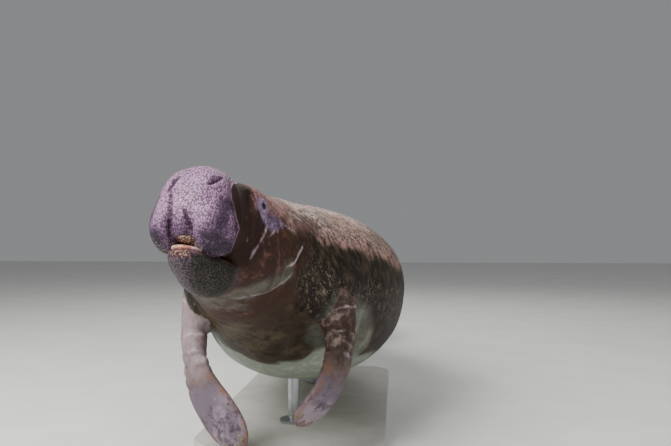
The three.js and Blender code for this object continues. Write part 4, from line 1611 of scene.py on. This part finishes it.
@dataclass(frozen=True)
class Finish:
    """A finish of one real substance.

    Attributes:
        name: The substance.
        shade: Its ground colour.
        textures: Its patterns by name.
        layers: Colours over the ground, in order.
        reliefs: Fine relief.
        roughness: How matt it is.
        metallic: 1 for bare metal.
        ior: Index of refraction.
        specular: Strength of its highlights.
        coat: Strength of a clear wet film over it.
        coat_roughness: How matt the film is.
    """

    name: str
    shade: str
    textures: tuple[tuple[str, Texture], ...]
    layers: tuple[Layer, ...]
    reliefs: tuple[Relief, ...]
    roughness: float
    metallic: float = 0.0
    ior: float = 1.5
    specular: float = 0.5
    coat: float = 0.0
    coat_roughness: float = 0.12

    def build(self) -> bpy.types.Material:
        """Makes the material.

        Returns:
            The material, with the colour's layers in order and its relief.
        """
        material = bpy.data.materials.new(self.name)
        material.use_nodes = True
        tree = material.node_tree
        tree.nodes.clear()
        places = {"": add_node(tree, "ShaderNodeTexCoord").outputs["Object"]}
        names = {texture.place for _, texture in self.textures if texture.place}
        for name in sorted(names):
            places[name] = add_node(tree, "ShaderNodeAttribute", {"attribute_name": name}).outputs["Vector"]
        patterns = {}
        for name, texture in self.textures:
            place = {"Vector": places[texture.place]}
            drawn = add_node(tree, "ShaderNodeMapping", {"Scale": texture.drawn}, place)
            settings = {"Scale": 1 / (texture.size_mm * MM), **dict(texture.settings)}
            patterns[name] = add_node(tree, texture.kind, settings, {"Vector": drawn.outputs[0]}).outputs[0]
        used = {row.mark for row in (*self.layers, *self.reliefs) if row.mark}
        marks = {
            name: add_node(tree, "ShaderNodeAttribute", {"attribute_name": name}).outputs["Fac"]
            for name in sorted(used)
        }
        tone = self._colour(tree, patterns, marks)
        height = self._height(tree, patterns, marks)
        lit = {"Base Color": tone}
        if height:
            bump = add_node(tree, "ShaderNodeBump", {"Strength": 1.0, "Distance": MM}, {"Height": height})
            lit["Normal"] = bump.outputs[0]
        gloss = {
            "Roughness": self.roughness, "Metallic": self.metallic, "IOR": self.ior,
            "Specular IOR Level": self.specular, "Coat Weight": self.coat,
            "Coat Roughness": self.coat_roughness,
        }
        surface = add_node(tree, "ShaderNodeBsdfPrincipled", gloss, lit)
        add_node(tree, "ShaderNodeOutputMaterial", links={"Surface": surface.outputs[0]})
        return material

    def _colour(self, tree: Tree, patterns: dict[str, Any], marks: dict[str, Any]) -> Any:
        """Lays the layers over the ground colour.

        Args:
            tree: The node tree.
            patterns: Output of each pattern.
            marks: Output of each marking.

        Returns:
            The colour's output.
        """
        tone = None
        for layer in self.layers:
            swing = {"operation": "MULTIPLY_ADD", 1: layer.spread, 2: 1 - layer.spread / 2}
            amount = add_node(tree, "ShaderNodeMath", swing, {0: patterns[layer.texture]}).outputs[0]
            if layer.mark:
                both = {0: amount, 1: marks[layer.mark]}
                amount = add_node(tree, "ShaderNodeMath", {"operation": "MULTIPLY"}, both).outputs[0]
            rise = {"interpolation_type": "SMOOTHSTEP", "From Min": layer.low, "From Max": layer.high}
            cover = add_node(tree, "ShaderNodeMapRange", {**rise, "To Max": layer.share}, {"Value": amount})
            mixed = {"data_type": "RGBA", 6: linear(self.shade), 7: linear(layer.shade)}
            under = {6: tone} if tone else {}
            tone = add_node(tree, "ShaderNodeMix", mixed, {0: cover.outputs[0], **under}).outputs[2]
        return tone

    def _height(self, tree: Tree, patterns: dict[str, Any], marks: dict[str, Any]) -> Any:
        """Adds up the fine relief.

        Args:
            tree: The node tree.
            patterns: Output of each pattern.
            marks: Output of each marking.

        Returns:
            The height's output, in mm.
        """
        height = None
        for relief in self.reliefs:
            scale, links = {"operation": "MULTIPLY", 1: relief.height_mm}, {0: patterns[relief.texture]}
            part = add_node(tree, "ShaderNodeMath", scale, links).outputs[0]
            if relief.mark:
                both = {0: part, 1: marks[relief.mark]}
                part = add_node(tree, "ShaderNodeMath", {"operation": "MULTIPLY"}, both).outputs[0]
            under = {0: height} if height else {}
            height = add_node(tree, "ShaderNodeMath", {"operation": "ADD"}, {1: part, **under}).outputs[0]
        return height


CELLS = (("Randomness", 0.8),)
BROKEN = (("Detail", 6.0), ("Roughness", 0.72))
EDGES = (("feature", "DISTANCE_TO_EDGE"), ("Randomness", 0.9))

# Thick living hide under a thin film of water, netted with fine wrinkles. To the eye
# it is lilac and pebbled on the muzzle, pink brown and speckled on the back, almost
# black on the flank, brown on the chest and pale grey green underneath. The flank's
# black is partly painted shade and the pale underside partly painted light reflected
# from below; painted highlights and painted shade lie on the muzzle, the top of the
# back, the folds, creases, grooves, pebbles and wrinkles. A pebble is 3 mm across on
# the animal and is drawn at 4 mm so that it shows.
HIDE = Finish(
    "living_manatee_hide",
    "#372C22",
    (
        ("broad", Texture(130, place="rest")),
        ("patches", Texture(34, place="rest", settings=BROKEN)),
        ("specks", Texture(9, place="rest", settings=(("Detail", 4.0), ("Roughness", 0.7)))),
        ("flecks", Texture(5, place="rest", settings=(("Detail", 3.0), ("Roughness", 0.6)))),
        ("grain", Texture(3.4, place="rest", settings=(("Detail", 2.0), ("Roughness", 0.6)))),
        ("streaks", Texture(24, place="lay", drawn=(0.5, 1, 1), settings=BROKEN)),
        ("threads", Texture(8, place="lay", drawn=(0.45, 1, 1))),
        ("pebbles", Texture(4.2, "ShaderNodeTexVoronoi", "rest", (1, 1, 0.72), CELLS)),
        ("net", Texture(8, "ShaderNodeTexVoronoi", "rest", (1, 1, 1), CELLS)),
        ("wrinkles", Texture(10, "ShaderNodeTexVoronoi", "rest", (1, 1.5, 0.8), EDGES)),
    ),
    (
        Layer("#4C4131", "broad", 0.7, 1.5, 6),
        Layer("#261B14", "streaks", 0.8, 1.7, -6, "", 0.8),
        # Pale underside, partly its own paler skin and partly painted light reflected up from below.
        Layer("#8C9486", "broad", 0.3, 0.8, 2, "belly"),
        Layer("#A9B3A2", "patches", 0.9, 1.6, 5, "belly", 0.7),
        Layer("#766359", "streaks", 0.2, 1.1, 3, "back"),
        Layer("#8A8178", "patches", 0.8, 1.6, 5, "back", 0.75),
        Layer("#A98379", "streaks", 0.2, 1.1, 4, "shoulder"),
        # Painted highlight on the top of the shoulders.
        Layer("#EBCBC1", "patches", 0.6, 1.5, 5, "crest", 0.95),
        Layer("#6F6B62", "broad", 1.0, 1.7, 5, "back", 0.65),
        Layer("#4A3528", "streaks", 0.7, 1.6, -5, "back", 0.7),
        Layer("#23160F", "specks", 0.8, 1.5, -7, "back", 0.9),
        Layer("#6E4224", "patches", 0.4, 1.0, 5, "rust", 0.92),
        # Near black, partly dark skin and partly painted shade, on the flank, under the flippers and
        # underneath.
        Layer("#17100C", "streaks", 0.0, 1.05, -5.5, "dark", 0.95),
        Layer("#786C5E", "threads", 1.1, 1.9, 6, "dark", 0.65),
        Layer("#CDB4A9", "threads", 1.0, 1.8, 7, "shoulder", 0.6),
        Layer("#85796B", "flecks", 1.4, 1.9, 6, "coated", 0.4),
        Layer("#5C5F55", "patches", 0.1, 1.3, 2.4, "bare", 0.8),
        Layer("#868A7F", "broad", 0.6, 1.6, 4, "bare", 0.6),
        Layer("#38231B", "patches", 0.2, 0.9, 1, "head"),
        Layer("#765248", "patches", 0.9, 1.7, 5, "head", 0.7),
        Layer("#8C615C", "patches", 0.2, 1.2, 3, "crown", 0.9),
        Layer("#B98F88", "specks", 0.9, 1.6, 5, "crown", 0.8),
        Layer("#5F6157", "patches", 0.15, 1.2, 3, "face_green", 0.8),
        Layer("#74432A", "patches", 0.6, 1.4, 5, "face_rust", 0.7),
        # Dark red brown behind the muzzle, partly dark skin and partly painted shade.
        Layer("#26120B", "patches", 0.2, 1.1, 2.4, "behind", 0.92),
        Layer("#8B7598", "patches", 0.25, 1.1, 2.4, "lilac", 0.85),
        Layer("#B8A2C0", "specks", 0.9, 1.6, 5, "lilac", 0.7),
        Layer("#A57F9D", "patches", 0.2, 0.7, 0.4, "muzzle"),
        # Painted highlight over the upper front of the muzzle.
        Layer("#C7A2BC", "patches", 0.7, 1.5, 4, "bright", 0.7),
        # Painted shade, darker towards the bottom of the muzzle.
        Layer("#5E4A62", "patches", 0.15, 1.0, 1.4, "low"),
        # Painted shadow in a band down each side of the muzzle, beside the lobes.
        Layer("#3A2D3E", "patches", 0.15, 1.0, 2, "band", 0.9),
        # Painted shade under the lobes of the upper lip.
        Layer("#242022", "patches", 0.25, 1.1, 2, "lobe", 0.88),
        Layer("#5A4C55", "patches", 0.2, 0.7, 1, "jaw"),
        Layer("#2A2B21", "patches", 0.15, 0.9, 2, "jaw_side", 0.95),
        Layer("#55292C", "specks", 0.4, 1.0, 2, "lip", 0.9),
        Layer("#D0B78E", "flecks", 1.35, 1.6, 6, "lip", 0.7),
        # Painted shade in the hollows between the pebbles, and painted highlight on their tops.
        Layer("#2F2136", "pebbles", 0.55, 1.4, 3.2, "muzzle", 0.74),
        Layer("#15130F", "pebbles", 0.55, 1.4, 3.2, "jaw", 0.7),
        Layer("#6B5E64", "pebbles", 1.0, 2.3, -3.2, "jaw", 0.4),
        Layer("#CDB2C6", "pebbles", 1.35, 2.2, -3.2, "bright", 0.45),
        Layer("#A99AA6", "flecks", 1.3, 1.7, 6, "low", 0.7),
        Layer("#63504A", "patches", 0.25, 0.7, 1, "arm"),
        Layer("#8F7C7A", "broad", 0.8, 1.5, 5, "arm", 0.8),
        Layer("#33231B", "patches", 0.75, 1.4, -4.5, "arm", 0.75),
        Layer("#33241B", "streaks", 0.2, 1.2, 3, "arm_left", 0.72),
        Layer("#A3948C", "patches", 1.1, 1.7, 5, "arm", 0.4),
        Layer("#8D7D80", "patches", 0.2, 1.1, 2, "arm_right", 0.7),
        Layer("#685C66", "patches", 0.25, 0.7, 1, "blade"),
        Layer("#93838C", "broad", 0.8, 1.5, 5, "blade", 0.8),
        Layer("#3B2D3A", "patches", 0.85, 1.5, -5, "blade", 0.75),
        Layer("#75502F", "patches", 0.5, 1.3, 5, "rim", 0.7),
        # Pale lines, partly pale folds, bands and scars and partly painted highlight on lit ridges.
        Layer("#BFAAB2", "patches", 0.2, 1.1, 2.4, "pale", 0.8),
        # Painted shade in the creases.
        Layer("#180F0C", "patches", 0.2, 0.9, 1, "crease", 0.85),
        # Painted shade in the lip grooves.
        Layer("#241822", "patches", 0.3, 1.25, 1.2, "slit", 0.85),
        Layer("#1B1419", "grain", 0.3, 0.9, 0.6, "lids", 0.85),
        # Painted shade in the valleys of the wrinkles.
        Layer("#1D1512", "wrinkles", 0.8, 1.6, -1.2, "netted", 0.35),
    ),
    (
        Relief("pebbles", -1.2, "pebbled"),
        Relief("net", -0.4, "rough"),
        Relief("streaks", 0.9, "rough"),
        Relief("specks", 0.9, "rough"),
        Relief("wrinkles", 1.0, "netted"),
        Relief("grain", 0.3),
    ),
    roughness=0.58,
    ior=1.40,
    specular=0.25,
)
# Living gum, wet and smooth: a pink cream rim round an orange brown middle.
GUM = Finish(
    "wet_gum",
    "#D9A79E",
    (("patches", Texture(9)), ("specks", Texture(2.4))),
    (
        Layer("#A5603F", "patches", 0.35, 0.8, 1.6, "middle", 0.9),
        Layer("#F0D8CF", "patches", 0.95, 1.5, 5, "", 0.7),
        Layer("#6E3A2A", "specks", 1.2, 1.7, 5, "middle", 0.7),
    ),
    (Relief("patches", 0.5), Relief("specks", 0.2)),
    roughness=0.35,
    ior=1.40,
    coat=0.5,
)
# Horny pad of the palate, wet and dark, with worn pale knobs.
PALATE = Finish(
    "wet_horny_palate",
    "#3E2820",
    (("patches", Texture(8)), ("knobs", Texture(4.5, "ShaderNodeTexVoronoi", "", (1, 1, 1), CELLS))),
    (
        Layer("#6B4A38", "patches", 0.8, 1.3, 5, "", 0.8),
        Layer("#D9C7A8", "knobs", 1.25, 1.6, -2.4, "", 0.8),
    ),
    (Relief("knobs", -0.8), Relief("patches", 0.5)),
    roughness=0.4,
    ior=1.45,
    coat=0.4,
)
# Nail horn, dull and worn: grey brown with faint growth lines.
HORN = Finish(
    "worn_nail_horn",
    "#5F5144",
    (("patches", Texture(7)), ("lines", Texture(1.6, drawn=(1, 0.2, 1)))),
    (Layer("#857665", "patches", 0.9, 1.5, 5, "", 0.7), Layer("#453528", "lines", 1.1, 1.7, -5, "", 0.6)),
    (Relief("lines", 0.15),),
    roughness=0.5,
    ior=1.55,
)
# Bristle keratin, pale and stiff.
BRISTLE = Finish(
    "bristle_keratin",
    "#8E7F74",
    (("patches", Texture(6)),),
    (Layer("#4A3D36", "patches", 0.9, 1.5, 5, "", 0.8),),
    (),
    roughness=0.45,
    ior=1.55,
)
# Dark wet eyeball, nearly black, with a sharp highlight from its film of tears.
EYE = Finish(
    "wet_dark_eye",
    "#0D0909",
    (("patches", Texture(5)),),
    (Layer("#2A1A12", "patches", 1.0, 1.6, 5, "", 0.6),),
    (),
    roughness=0.12,
    ior=1.38,
    coat=1.0,
)
# Board with a rolled coat of matt paint, whose fine stipple just breaks the light.
BOARD = Finish(
    "matt_painted_board",
    "#B9B6AE",
    (("patches", Texture(90)), ("stipple", Texture(4))),
    (Layer("#ADAAA2", "patches", 0.8, 1.4, 5, "", 0.6), Layer("#C6C3BC", "stipple", 1.1, 1.8, 5, "", 0.5)),
    (Relief("stipple", 0.12),),
    roughness=0.62,
)
# Brushed stainless steel, its fine lines running round the rod.
STEEL = Finish(
    "brushed_stainless_steel",
    "#A9ABAD",
    (("lines", Texture(2.0, drawn=(0.05, 0.05, 1))), ("patches", Texture(60))),
    (Layer("#8F9193", "lines", 0.9, 1.6, 5, "", 0.8), Layer("#BDBFC1", "patches", 0.9, 1.6, 5, "", 0.5)),
    (Relief("lines", 0.05),),
    roughness=0.32,
    metallic=1.0,
)
# Seamless studio floor, matt and pale.
FLOOR = Finish(
    "matt_studio_floor",
    "#DEDDDA",
    (("patches", Texture(300)),),
    (Layer("#D6D5D2", "patches", 0.7, 1.3, 4, "", 0.6),),
    (),
    roughness=0.85,
)


def ball(rows: int, around: int) -> Array:
    """Directions to the points of a ball, its poles on the first axis.

    Args:
        rows: Number of rows, with both poles.
        around: Points in each row.

    Returns:
        The directions row by row, and then those to the two poles.
    """
    rises = np.linspace(0, np.pi, rows)[1:-1]
    turns = np.linspace(0, 2 * np.pi, around, endpoint=False)
    rise, turn = (grid.ravel() for grid in np.meshgrid(rises, turns, indexing="ij"))
    ways = np.stack([-np.cos(rise), np.cos(turn) * np.sin(rise), np.sin(turn) * np.sin(rise)], axis=1)
    return np.vstack([ways, [[-1, 0, 0], [1, 0, 0]]])


def closed_faces(rows: int, around: int) -> list[Array]:
    """Faces between rows of points that close round, and on to two end points after the rows.

    Args:
        rows: Number of rows.
        around: Points in each.

    Returns:
        Quads as rows of four point numbers, and triangles as rows of three.
    """
    j, i = np.meshgrid(np.arange(rows - 1), np.arange(around), indexing="ij")
    right = (i + 1) % around
    near, far = j * around, (j + 1) * around
    quads = np.stack([near + i, far + i, far + right, near + right], axis=-1).reshape(-1, 4)
    first, right = np.arange(around), (np.arange(around) + 1) % around
    last = (rows - 1) * around
    ends = (np.full(around, rows * around), np.full(around, rows * around + 1))
    start = np.stack([ends[0], first, right], axis=1)
    end = np.stack([ends[1], last + right, last + first], axis=1)
    return [quads, np.vstack([start, end])]


@dataclass
class Eyes:
    """The two small dark eyeballs, each with a slight bulge where it looks out."""

    animal: Animal
    rows: int = 25
    around: int = 48
    bulge: float = 0.06
    bulge_width: float = 0.5

    def build(self) -> list[Piece]:
        """Makes both eyeballs.

        Returns:
            The left and the right eyeball.
        """
        pieces = []
        ways = ball(self.rows, self.around)
        rise = np.arccos(np.clip(-ways[:, :1], -1, 1))
        bulge = 1 + self.bulge * np.exp(-((rise / self.bulge_width) ** 2))
        for side, seat in self.animal.eyes.items():
            helper = unit(np.cross(seat.out, [0.0, 0.0, 1.0]))
            turned = ways @ np.array([-seat.out, helper, np.cross(seat.out, helper)])
            middle = seat.skin - seat.out * self.animal.eyeball_sunk
            points = middle + self.animal.eyeball_radius * bulge * turned
            faces = closed_faces(self.rows - 2, self.around)
            piece = make_mesh(f"eyeball_{side.name.lower()}", self.animal.spine.pose(points), faces)
            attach(piece, BODY)
            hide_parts(f"eye_{side.name.lower()}")
            piece.data.materials.append(EYE.build())
            pieces.append(piece)
        return pieces


@dataclass
class MouthPads:
    """The horny pad of the palate and the gum that show between the lips."""

    animal: Animal
    upper: Ellipsoid = Ellipsoid((4, 62, -50), (34, 38, 13))
    lower: Ellipsoid = Ellipsoid((5, 54, -74), (39, 39, 11))
    rows: int = 44
    around: int = 96
    knob_mm: float = 1.3
    knob_size: Triple = (8, 8, 8)
    gum_mm: float = 0.4
    gum_size: Triple = (11, 11, 7)
    sag_mm: float = 2.6
    taper: float = 0.3

    def build(self) -> list[Piece]:
        """Makes both pads.

        Returns:
            The palate's pad and the gum.
        """
        pads = []
        for name, form, finish, slot in (
            ("mouth_upper_pad", self.upper, PALATE, "palate"),
            ("mouth_lower_pad", self.lower, GUM, "gum"),
        ):
            ways = ball(self.rows, self.around)[:, [1, 0, 2]]
            centre, half = np.array(form.at, float), np.array(form.half, float)
            points = centre + ways * half
            along = ways[:, 0]
            if slot == "gum":
                thick = 1 - self.taper * smoothstep(along, -0.4, 0.8)
                points[:, 2] = centre[2] + (points[:, 2] - centre[2]) * thick - self.sag_mm * (1 - along**2)
                relief = self.gum_mm * Ripples(41)(points, self.gum_size)
            else:
                relief = self.knob_mm * (Ripples(43)(points, self.knob_size) - 0.5)
            points += ways * relief[:, None]
            faces = closed_faces(self.rows - 2, self.around)
            pad = make_mesh(f"{slot}_pad", self.animal.spine.pose(points), faces)
            paint(pad, "middle", smoothstep(1.2 - np.hypot(along / 0.72, ways[:, 2] / 0.9), 0.1, 0.5))
            pad.data.materials.append(finish.build())
            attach(pad, BODY)
            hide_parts(name)
            pads.append(pad)
        return pads


@dataclass
class Nails:
    """Three small worn nails on the back of each flipper's tip."""

    animal: Animal
    places: tuple[tuple[float, float], ...] = ((0.93, -0.66), (0.962, -0.12), (0.945, 0.48))
    half: Triple = (12, 9, 4.2)
    rows: int = 22
    around: int = 40
    flare: float = 0.15
    sunk_mm: float = 1.0
    ring_mm: float = 0.18
    rings: float = 9.0

    def build(self) -> list[Piece]:
        """Makes the nails.

        Returns:
            The left flipper's three and then the right one's.
        """
        nails = []
        for flipper in self.animal.flippers:
            for number, (share, offset) in enumerate(self.places, 1):
                name = f"flipper_{flipper.side.name.lower()}_nail_{number}"
                points = self._points(flipper, share, offset)
                nail = make_mesh(f"{name}_horn", points, closed_faces(self.rows - 2, self.around))
                nail.data.materials.append(HORN.build())
                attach(nail, BODY)
                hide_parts(name)
                nails.append(nail)
        return nails

    def _points(self, flipper: Flipper, share: float, offset: float) -> Array:
        """Places one nail's points.

        Args:
            flipper: The flipper that it grows on.
            share: Share of the flipper's length.
            offset: How far across the blade, from -1 to 1.

        Returns:
            The points in the pose, row by row and then the two ends.
        """
        centre, along, out, across = (row[0] for row in flipper.section(np.array([share])))
        wide, thick = (float(flipper.stations(np.array([share]), column)[0]) for column in (1, 2))
        ways = ball(self.rows, self.around)
        local = ways * np.array(self.half)
        local[:, 1] *= 1 + self.flare * ways[:, 0]
        local[:, 2] += self.ring_mm * np.sin(self.rings * ways[:, 0]) * ways[:, 2].clip(0)
        lift = thick * math.sqrt(1 - offset**2) - self.sunk_mm
        middle = centre + offset * wide * across + lift * out
        placed = middle + local[:, :1] * along + local[:, 1:2] * across + local[:, 2:] * out
        return self.animal.spine.pose(placed)


@dataclass
class Bristles:
    """Short stiff bristles on the lobes of the upper lip and on the chin."""

    skin: Skin
    seed: int = 7
    count: int = 320
    sides: int = 5
    radius: float = 0.42
    short_mm: float = 2.6
    long_mm: float = 11.0
    root_share: float = -0.15
    widths: tuple[tuple[float, float], ...] = ((-0.15, 1.0), (0.4, 0.8), (0.8, 0.5))
    lean_down: float = 0.5
    lean_spread: float = 0.22
    droop: float = 0.12
    tip_droop: float = 0.14
    bare_middle: float = 14.0
    patch: float = 0.003

    def build(self) -> Piece:
        """Makes all bristles as one piece.

        Returns:
            The piece, with its unwrap named OFBake.
        """
        draw = np.random.default_rng(self.seed)
        rest, normals = self.skin.points, self.skin.normals
        x, y, z = rest[:, 0], rest[:, 1], rest[:, 2]
        fringe = smoothstep(-z, 52, 72) * (1 - smoothstep(-z, 76, 84)) * (1 - smoothstep(y, 70, 110))
        lobes = smoothstep(-z, -30, 50) * (1 - smoothstep(-z, 76, 84)) * (1 - smoothstep(y, 90, 130))
        chin = smoothstep(-z, 92, 100) * (1 - smoothstep(y, 60, 120)) * (normals[:, 1] < 0.1)
        weight = (0.7 * lobes + fringe + 0.12 * chin) * (np.abs(x) > self.bare_middle)
        weight = weight * (normals[:, 1] < 0.35)
        roots = draw.choice(len(rest), self.count, replace=False, p=weight / weight.sum())
        grown = fringe[roots] * draw.uniform(0.2, 1.0, self.count)
        length = self.short_mm + (self.long_mm - self.short_mm) * grown
        stray = draw.normal(0, self.lean_spread, (self.count, 3))
        lean = unit(normals[roots] + np.array([0, 0, -self.lean_down]) + stray)
        side = unit(np.cross(lean, [0.31, 0.17, 0.93]))
        other = np.cross(lean, side)
        turns = np.linspace(0, 2 * np.pi, self.sides, endpoint=False)
        rows = []
        for share, width in self.widths:
            for turn in turns:
                flat = math.cos(turn) * side + math.sin(turn) * other
                droop = np.array([0, 0, -self.droop]) * share**2
                middle = rest[roots] + (lean + droop) * (share * length)[:, None]
                rows.append(middle + self.radius * width * flat)
        rows.append(rest[roots] + lean * (self.root_share * length)[:, None])
        rows.append(rest[roots] + (lean - [0, 0, self.tip_droop]) * length[:, None])
        each = len(rows)
        points = np.stack(rows, axis=1).reshape(-1, 3)
        steps = (np.arange(self.count) * each)[:, None, None]
        faces = [
            (part[None] + steps).reshape(-1, part.shape[1])
            for part in closed_faces(len(self.widths), self.sides)
        ]
        piece = make_mesh("lip_bristles", self.skin.animal.spine.pose(points), faces)
        self._unwrap(piece, rest[roots], each)
        piece.data.materials.append(BRISTLE.build())
        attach(piece, BODY)
        return piece

    def _unwrap(self, piece: Piece, roots: Array, each: int) -> None:
        """Lays each bristle as a small patch at its root's place on an unwrap of the head.

        Args:
            piece: The bristles.
            roots: Their roots on the straight animal, in mm.
            each: Number of points in one bristle.
        """
        round_head = 0.5 + np.arctan2(roots[:, 0], 160 - roots[:, 1]) / (2 * np.pi)
        up = 0.5 + roots[:, 2] / 400
        layer = piece.data.uv_layers.new(name="OFBake")
        corners = np.zeros(len(piece.data.loops), np.int32)
        piece.data.loops.foreach_get("vertex_index", corners)
        owner, place = corners // each, corners % each
        across = (place % self.sides) / self.sides
        along = np.minimum(place // self.sides, 3) / 3
        u = round_head[owner] + self.patch * (across - 0.5)
        v = up[owner] + self.patch * (along - 0.5)
        layer.data.foreach_set("uv", np.stack([u, v], axis=1).ravel().astype(np.float32))


@dataclass
class Stand:
    """The flat painted base and the two steel rods, which keep their own shapes."""

    finishes: tuple[tuple[str, Finish], ...] = (
        ("stand_base", BOARD),
        ("stand_rod_front", STEEL),
        ("stand_rod_rear", STEEL),
    )

    def dress(self) -> None:
        """Gives base and rods their finishes."""
        for name, finish in self.finishes:
            piece = bpy.data.objects[name]
            for slot in piece.material_slots:
                slot.material = finish.build()
            LOG.info("%s in %s", name, finish.name)


@dataclass
class Stage:
    """Floor, soft studio light and the camera at the photograph's viewing angle.

    Attributes:
        tilt_up: How far the camera looks up, in degrees.
        heading: How far it is turned to the left, in degrees.
        snout_seen: How far right, up and ahead of it the snout lies, in metres.
        surround: Shade and strength of the light from all round.
        lamps: Name, place and size of each lamp in metres, and its watts.
    """

    animal: Animal
    image: tuple[int, int] = (671, 446)
    focal_px: float = 670.0
    tilt_up: float = 1.1
    heading: float = 5.0
    snout_seen: Triple = (-0.345, 0.054, 1.5)
    sensor_mm: float = 36.0
    sight: float = 100.0
    floor_half: float = 14.0
    surround: tuple[str, float] = ("#E6E8EA", 0.32)
    aim: Triple = (0.0, 0.0, 0.5)
    lamps: tuple[tuple[str, Triple, float, float], ...] = (
        ("key_lamp", (-1.9, -2.6, 3.4), 2.6, 350.0),
        ("fill_lamp", (3.4, -2.4, 1.8), 3.0, 48.0),
        ("rim_lamp", (0.6, 3.2, 3.8), 3.0, 65.0),
    )

    def build(self) -> None:
        """Makes the camera, the lights and the floor."""
        self._camera()
        self._floor()
        self._lights()

    def _camera(self) -> None:
        """Sets the camera where the snout falls on its place in the picture."""
        turn = math.radians(self.heading)
        right = np.array([math.cos(turn), math.sin(turn), 0.0])
        ahead = np.array([-math.sin(turn), math.cos(turn), 0.0])
        snout = self.animal.spine.pose(np.zeros((1, 3)))[0]
        across, over, away = self.snout_seen
        place = snout - across * right - over * np.array([0.0, 0.0, 1.0]) - away * ahead
        data = bpy.data.cameras.new("camera")
        data.sensor_width = self.sensor_mm
        data.lens = self.sensor_mm * self.focal_px / self.image[0]
        data.clip_end = self.sight
        camera = bpy.data.objects.new("camera", data)
        camera.location = place.tolist()
        camera.rotation_euler = (math.radians(90 + self.tilt_up), 0.0, turn)
        bpy.context.scene.collection.objects.link(camera)
        bpy.context.scene.camera = camera

    def _floor(self) -> None:
        """Lays a plain pale floor under the stand."""
        half = self.floor_half
        points = np.array([[-half, -half, 0], [half, -half, 0], [half, half, 0], [-half, half, 0]], float)
        floor = make_mesh("floor", points, [np.array([[0, 1, 2, 3]])])
        floor.data.materials.append(FLOOR.build())

    def _lights(self) -> None:
        """Hangs three soft lamps and a pale surround."""
        world = bpy.data.worlds.new("surround")
        world.use_nodes = True
        shade, strength = self.surround
        world.node_tree.nodes["Background"].inputs["Color"].default_value = linear(shade)
        world.node_tree.nodes["Background"].inputs["Strength"].default_value = strength
        bpy.context.scene.world = world
        for name, place, size, watts in self.lamps:
            data = bpy.data.lights.new(name, "AREA")
            data.size = size
            data.energy = watts
            lamp = bpy.data.objects.new(name, data)
            lamp.location = place
            aim = Vector(self.aim) - Vector(place)
            lamp.rotation_euler = aim.to_track_quat("-Z", "Y").to_euler()
            bpy.context.scene.collection.objects.link(lamp)


def main() -> None:
    """Builds the manatee's pieces in order, dresses them and sets the stage."""
    logging.basicConfig(level=logging.INFO, format="%(name)s: %(message)s")
    animal = Animal()
    skin = Skin(animal)
    hide = skin.build()
    hide.data.materials.append(HIDE.build())
    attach(hide, BODY)
    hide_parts(*skin.nodes)
    LOG.info("skin with %d points and %d faces", len(hide.data.vertices), len(hide.data.polygons))
    for piece in (*Eyes(animal).build(), *MouthPads(animal).build(), *Nails(animal).build()):
        LOG.info("%s", piece.name)
    bristles = Bristles(skin).build()
    LOG.info("%s with %d faces", bristles.name, len(bristles.data.polygons))
    Stand().dress()
    Stage(animal).build()


if __name__ == "__main__":
    main()
